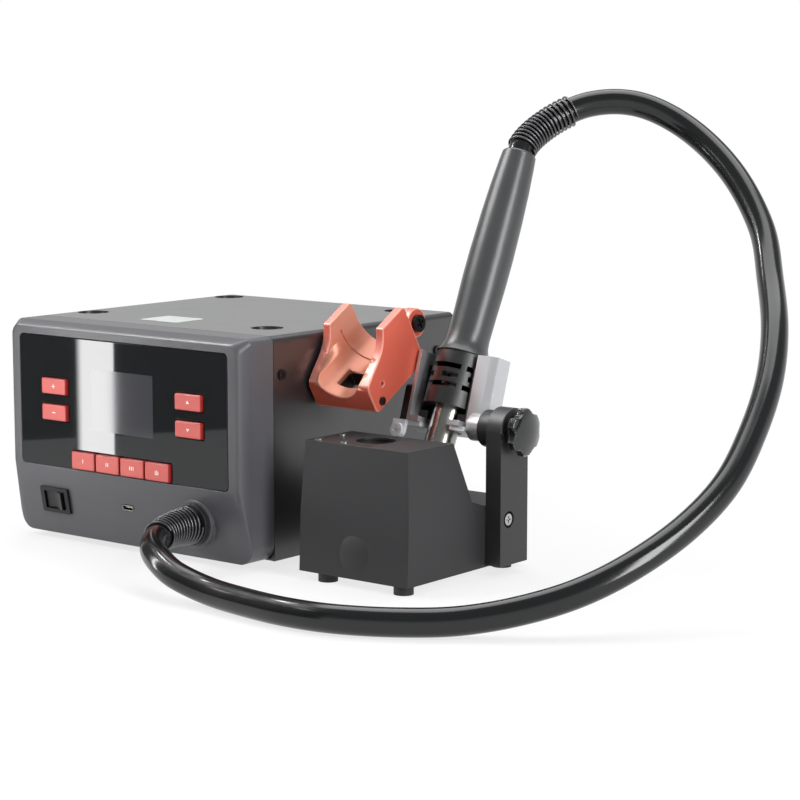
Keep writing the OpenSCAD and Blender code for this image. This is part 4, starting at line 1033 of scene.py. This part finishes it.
@dataclass
class ControlPanel:
    """The coral keys with their marks, and the glass that they stand in.

    The steps of a key's sides and front are each an inset and a distance behind its face.
    """

    face: float = -9.0
    left: float = 40.5
    right: float = 149.0
    upper: float = 94.55
    lower: float = 78.95
    side_size: Pair = (20.4, 9.6)
    row_left: float = 54.2
    row_height: float = 52.25
    row_size: Pair = (19.2, 10.7)
    pitch: float = 20.0
    corner: float = 1.0
    corner_taper: float = 0.2
    side_steps: tuple[Pair, ...] = ((0.0, 4.3), (0.0, 0.9), (0.12, 0.45), (0.48, 0.12))
    front_steps: tuple[Pair, ...] = ((0.45, 0.6), (0.5, 0.1), (0.9, 0.0), (1.5, 0.03), (3.2, 0.08))
    mark_steps: Pair = (0.3, -0.06)
    glass_edge: float = 0.4
    row: tuple[tuple[str, KeyMark], ...] = (
        ("memory_key_1", KeyMark.ONE),
        ("memory_key_2", KeyMark.TWO),
        ("memory_key_3", KeyMark.THREE),
        ("standby_key", KeyMark.STANDBY),
    )

    def key(self, node: str, x: float, z: float, size: Pair, mark: KeyMark) -> str:
        """Builds one key that stands for its CAD node.

        Args:
            node: name of the CAD node.
            x: bench place of its middle.
            z: height of its middle.
            size: its width and height.
            mark: the mark on its face.

        Returns:
            The piece's name.
        """
        width, height = size
        cap = Piece(node + "_cap", CORAL, KEY_MARK, CORAL_SIDE_SHADE)
        # The sides take the third finish, the dark red painted as shade round the key.
        for steps, finish, caps in ((self.side_steps, 2, False), (self.front_steps, 0, True)):
            rings = []
            for inset, behind in steps:
                corner = self.corner - inset * self.corner_taper
                shape = outline(width - 2 * inset, height - 2 * inset, corner)
                rings.append([at(x + px, self.face + behind, z + pz) for px, pz in shape])
            cap.loft(rings, finish, caps)
        for loop in mark.value:
            cap.loft([[at(x + px, self.face + y, z + pz) for px, pz in loop] for y in self.mark_steps], 1)
        made = cap.make(angle=30)
        body = frame["nodes"][node]["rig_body"]
        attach(made, body)
        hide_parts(node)
        return made.name

    def build(self) -> list[str]:
        """Builds every key and dresses the glass, the display and the key board.

        Returns:
            The pieces' names.
        """
        pieces = [
            self.key("plus_key", self.left, self.upper, self.side_size, KeyMark.PLUS),
            self.key("minus_key", self.left, self.lower, self.side_size, KeyMark.MINUS),
            self.key("upper_right_key", self.right, self.upper, self.side_size, KeyMark.UP),
            self.key("lower_right_key", self.right, self.lower, self.side_size, KeyMark.DOWN),
        ]
        for i, (node, mark) in enumerate(self.row):
            x = self.row_left + self.pitch * (i + 0.5)
            pieces.append(self.key(node, x, self.row_height, self.row_size, mark))
        return pieces + [
            dress("front_glass", FRONT_GLASS, self.glass_edge, whole=True),
            dress("display_module", DISPLAY_FILM),
            dress("key_board", BOARD),
        ]


@dataclass
class StationCase:
    """Cover, tray, front frame and what is screwed to them.

    The steps of the bare plate on the cover are each an inset and a height above it.
    """

    top: float = 132.0
    frame_edge: float = 0.5
    cover_edge: float = 0.5
    fitting_edge: float = 0.3
    foot_edge: float = 0.4
    plate_place: Pair = (81.0, 50.5)
    plate_size: Pair = (30.0, 25.0)
    plate_corner: float = 1.5
    plate_steps: tuple[Pair, ...] = ((0.0, 0.0), (0.0, 0.15), (0.15, 0.25))

    def build(self) -> list[str]:
        """Dresses the case and what shows of its fittings.

        Returns:
            The pieces' names.
        """
        return [
            dress("front_bezel", FRAME_PLASTIC, self.frame_edge, segments=3, whole=True),
            dress("top_cover", CASE_PAINT, self.cover_edge),
            dress("base_tray", CASE_PAINT, self.fitting_edge),
            dress("rear_panel", CASE_PAINT, self.fitting_edge),
            dress("switch_housing", SWITCH_PLASTIC, self.fitting_edge),
            dress("rocker", SWITCH_PLASTIC, self.fitting_edge),
            dress("usb_socket", PLAIN_STEEL),
            dress("hose_gland", BLACK_PLASTIC, self.fitting_edge, whole=True),
            dress("inlet_socket", BLACK_PLASTIC, self.fitting_edge),
            dress("fuse_drawer", BLACK_PLASTIC, self.fitting_edge),
            dress("case_feet", RUBBER, self.foot_edge),
            dress("case_screws", BLACK_SCREWS),
            self.label(),
        ]

    def label(self) -> str:
        """Lays the bare pale plate on the cover's top.

        Returns:
            The piece's name.
        """
        plate = Piece("cover_plate", LABEL_PLATE)
        left, front = self.plate_place
        width, depth = self.plate_size
        rings = []
        for inset, z in self.plate_steps:
            shape = outline(width - 2 * inset, depth - 2 * inset, self.plate_corner)
            rings.append([at(left + x, front + y, self.top + z) for x, y in shape])
        plate.loft(rings)
        made = plate.make()
        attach(made, "root")
        return made.name


@dataclass
class AirPath:
    """Blower, duct and boards inside the case, with their edges as the CAD has them."""

    finishes: tuple[tuple[str, Finish], ...] = (
        ("blower_housing", BLACK_PLASTIC),
        ("blower_cover", BLACK_PLASTIC),
        ("impeller", IMPELLER_PLASTIC),
        ("blower_motor", PLAIN_STEEL),
        ("air_duct", BLACK_PLASTIC),
        ("main_board", BOARD),
        ("heatsink", ALUMINIUM),
    )

    def build(self) -> list[str]:
        """Dresses every inner piece and gives the pieces' names."""
        return [dress(node, finish) for node, finish in self.finishes]


@dataclass
class RedHolder:
    """The red holder on the case's right side."""

    holder_edge: float = 0.8
    pivot_edge: float = 0.2
    trim_edge: float = 0.15

    def build(self) -> list[str]:
        """Dresses the holder, its boss and its screws.

        Returns:
            The pieces' names.
        """
        return [
            # The holder's bevelled edges take the paler red, a painted highlight on the machined edge.
            dress("red_holder", RED_ANODISED, self.holder_edge, RED_EDGE_HIGHLIGHT, whole=True),
            dress("holder_boss", BLACK_PLASTIC),
            dress("holder_screw", BLACK_SCREWS, self.pivot_edge),
            dress("holder_trim_screws", BLACK_SCREWS, self.trim_edge),
        ]


@dataclass
class Stand:
    """Cast stand with its arm and plates."""

    base_edge: float = 0.6
    plate_edge: float = 0.2
    cap_shade_edge: float = 0.7
    foot_edge: float = 0.5
    arm_edge: float = 0.5
    screw_edge: float = 0.2

    def build(self) -> list[str]:
        """Dresses the stand.

        Returns:
            The pieces' names.
        """
        return [
            dress("stand_base", STAND_PAINT, self.base_edge),
            dress("stand_top_plate", BLACK_PLASTIC, self.plate_edge),
            dress("plate_screws", SCREW_STEEL),
            # The cap's bevelled rim takes painted shade, a dark ring round it.
            dress("front_cap", STAND_PAINT, self.cap_shade_edge, CAP_RIM_SHADE),
            dress("ballast_block", PLAIN_STEEL),
            dress("stand_bottom_plate", PLAIN_STEEL),
            dress("stand_feet", RUBBER, self.foot_edge),
            dress("support_arm", ARM_PAINT, self.arm_edge, whole=True),
            dress("arm_screws", SCREW_STEEL, self.screw_edge),
        ]


@dataclass
class Cradle:
    """Tilting cradle with its clamp."""

    channel_edge: float = 0.8
    liner_edge: float = 0.2
    foot_edge: float = 0.3
    cover_edge: float = 0.5
    washer_edge: float = 0.4
    knob_highlight_edge: float = 1.0
    knob_angle: float = 28.0

    def build(self) -> list[str]:
        """Dresses the cradle, its stud and the star knob.

        Returns:
            The pieces' names.
        """
        return [
            # The channel's bevelled edges take a painted highlight.
            dress("cradle_channel", ALUMINIUM, self.channel_edge, ALUMINIUM_EDGE_HIGHLIGHT),
            dress("cradle_liner", RUBBER, self.liner_edge),
            dress("cradle_foot", FOOT_PLATE, self.foot_edge),
            dress("cradle_side_cover", BLACK_PLASTIC, self.cover_edge),
            dress("friction_washer", BLACK_PLASTIC, self.washer_edge),
            dress("clamp_stud", PLAIN_STEEL),
            # The knob's bevelled edges take a painted highlight.
            dress("star_knob", KNOB_PLASTIC, self.knob_highlight_edge, KNOB_EDGE_HIGHLIGHT, angle=self.knob_angle, whole=True),
        ]


@dataclass
class Handle:
    """Hot air handle."""

    moulded_edge: float = 0.3

    def build(self) -> list[str]:
        """Dresses the handle.

        Returns:
            The pieces' names.
        """
        return [
            dress("handle_grip", GRIP_RUBBER, self.moulded_edge),
            dress("slotted_collar", BLACK_PLASTIC, self.moulded_edge),
            dress("steel_barrel", BARREL_STEEL),
            dress("mica_tube", MICA),
            dress("heater_core", CERAMIC),
            dress("end_fitting", BLACK_PLASTIC),
        ]


@dataclass(frozen=True)
class Lamp:
    """A rectangular soft lamp, in metres and watts."""

    name: str
    place: Point
    size: Pair
    power: float
    aim: Point = (0.0, 0.0, 0.09)


@dataclass(frozen=True)
class Card:
    """A glowing sheet, in metres, that shows only in reflections.

    Its left side fades in over that share of its width.
    """

    name: str
    place: Point
    aim: Point
    size: Pair
    glow: float
    fade: float = 0.0


@dataclass
class Studio:
    """Camera, floor, soft lamps and cards, in metres."""

    lens: float = 103.5
    sensor: float = 36.0
    azimuth: float = 38.313
    elevation: float = 8.121
    place: Point = (0.87689, -1.026375, 0.278094)
    sight: Pair = (0.01, 50.0)
    floor_width: float = 24.0
    fill: Colour = (0.95, 0.97, 1.0)
    fill_strength: float = 0.25
    sky_fade: Pair = (0.5, 0.12)
    sky_least: float = 0.1
    lamps: tuple[Lamp, ...] = (
        Lamp("key_lamp", (-0.46, -0.52, 0.46), (0.45, 0.45), 4.0),
        Lamp("top_lamp", (-0.1, 0.5, 1.5), (1.6, 1.2), 20.0),
        Lamp("right_lamp", (1.8, -0.3, 0.8), (0.5, 1.4), 29.0),
    )
    cards: tuple[Card, ...] = (
        Card("black_card", (-0.351, -0.4625, 0.43), (0.501, 0.0615, 0.43), (1.2, 0.86), 0.15),
        Card("bright_strip", (-0.2455, -0.2545, 0.10), (-0.062, -0.0975, 0.085), (0.0262, 0.30), 18.5, 0.2),
        Card("ridge_card", (-0.6, -0.24, 0.85), (-0.06, -0.1, 0.12), (0.5, 0.15), 60.0),
    )

    def put(self, made: bpy.types.Object, place: Point, toward: Vector) -> str:
        """Puts a camera, a lamp or a card in its place.

        Args:
            made: the object.
            place: where it stands.
            toward: the direction that it faces.

        Returns:
            Its name.
        """
        made.location = place
        made.rotation_mode = "QUATERNION"
        made.rotation_quaternion = toward.to_track_quat("-Z", "Y")
        bpy.context.scene.collection.objects.link(made)
        return made.name

    def sheet(self, name: str, size: Pair, material: bpy.types.Material) -> bpy.types.Object:
        """Flat sheet about its origin.

        Args:
            name: its name.
            size: its width and height.
            material: its material.

        Returns:
            The sheet, not yet linked to the scene.
        """
        w, h = size[0] / 2, size[1] / 2
        data = bpy.data.meshes.new(name)
        data.from_pydata([(-w, -h, 0), (w, -h, 0), (w, h, 0), (-w, h, 0)], [], [(0, 1, 2, 3)])
        data.materials.append(material)
        return bpy.data.objects.new(name, data)

    def camera(self) -> str:
        """Sets the camera at the photograph's angle.

        Returns:
            Its name.
        """
        data = bpy.data.cameras.new("view")
        data.lens = self.lens
        data.sensor_width = self.sensor
        data.clip_start, data.clip_end = self.sight
        made = bpy.data.objects.new("view", data)
        bpy.context.scene.camera = made
        a, e = math.radians(self.azimuth), math.radians(self.elevation)
        back = Vector((math.sin(a) * math.cos(e), -math.cos(a) * math.cos(e), math.sin(e)))
        return self.put(made, self.place, -back)

    def lamp(self, lamp: Lamp) -> str:
        """Adds a lamp that the camera doesn't see.

        Args:
            lamp: its place, size and power.

        Returns:
            Its name.
        """
        data = bpy.data.lights.new(lamp.name, "AREA")
        data.shape = "RECTANGLE"
        data.size, data.size_y = lamp.size
        data.energy = lamp.power
        made = bpy.data.objects.new(lamp.name, data)
        made.visible_camera = False
        return self.put(made, lamp.place, Vector(lamp.aim) - Vector(lamp.place))

    def floor(self) -> str:
        """Lays the floor.

        Returns:
            Its name.
        """
        made = self.sheet("floor", (self.floor_width, self.floor_width), FLOOR.material())
        bpy.context.scene.collection.objects.link(made)
        return made.name

    def card(self, card: Card) -> str:
        """Stands a card.

        Args:
            card: its place, size and glow.

        Returns:
            Its name.
        """
        shader = Shader(card.name)
        glowing = shader.emission(card.glow)
        if card.fade:
            across = shader.node("SeparateXYZ", {}, {0: shader.place}, 0)
            left = -card.size[0] / 2
            light = across.step(left, left + card.fade * card.size[0])
            glowing = shader.node("MixShader", {}, {0: light, 1: shader.emission(0.0), 2: glowing})
        shader.show(glowing)
        made = self.sheet(card.name, card.size, shader.material)
        made.visible_camera = False
        made.visible_diffuse = False
        made.visible_shadow = False
        made.visible_transmission = False
        name = self.put(made, card.place, Vector(card.aim) - Vector(card.place))
        return name

    def world(self) -> None:
        """Shows white to the camera and, near the horizon, in reflections, and fills softly elsewhere."""
        world = bpy.data.worlds.new("studio")
        world.use_nodes = True
        bpy.context.scene.world = world
        nodes = Nodes(world.node_tree)
        nodes.tree.nodes.remove(nodes.tree.nodes["Background"])
        height = nodes.node("SeparateXYZ", {}, {0: nodes.node("TexCoord", {}, {}, "Generated")}, 2)
        low = height.step(*self.sky_fade) * (1 - self.sky_least) + self.sky_least
        seen = nodes.ray("Glossy") * low + nodes.ray("Camera")
        fill = nodes.node("Background", {}, {"Color": (*self.fill, 1.0), "Strength": self.fill_strength})
        white = nodes.node("Background", {}, {"Color": WHITE, "Strength": 1.0})
        nodes.show(nodes.node("MixShader", {}, {0: seen, 1: fill, 2: white}))

    def build(self) -> list[str]:
        """Sets the view, the floor, the background, the lamps and the cards.

        Returns:
            Their names.
        """
        names = [self.camera(), self.floor()]
        self.world()
        names += [self.lamp(lamp) for lamp in self.lamps]
        names += [self.card(card) for card in self.cards]
        bpy.context.scene.view_settings.view_transform = "Standard"
        return names


def main() -> None:
    """Builds every sub-assembly in order and reports its pieces."""
    logging.basicConfig(level=logging.INFO, format="%(message)s")
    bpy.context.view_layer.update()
    for assembly in (
        Studio(),
        HoseLine(),
        ControlPanel(),
        StationCase(),
        AirPath(),
        RedHolder(),
        Stand(),
        Cradle(),
        Handle(),
    ):
        for name in assembly.build():
            LOG.info("%s: %s", type(assembly).__name__, name)


if __name__ == "__main__":
    main()
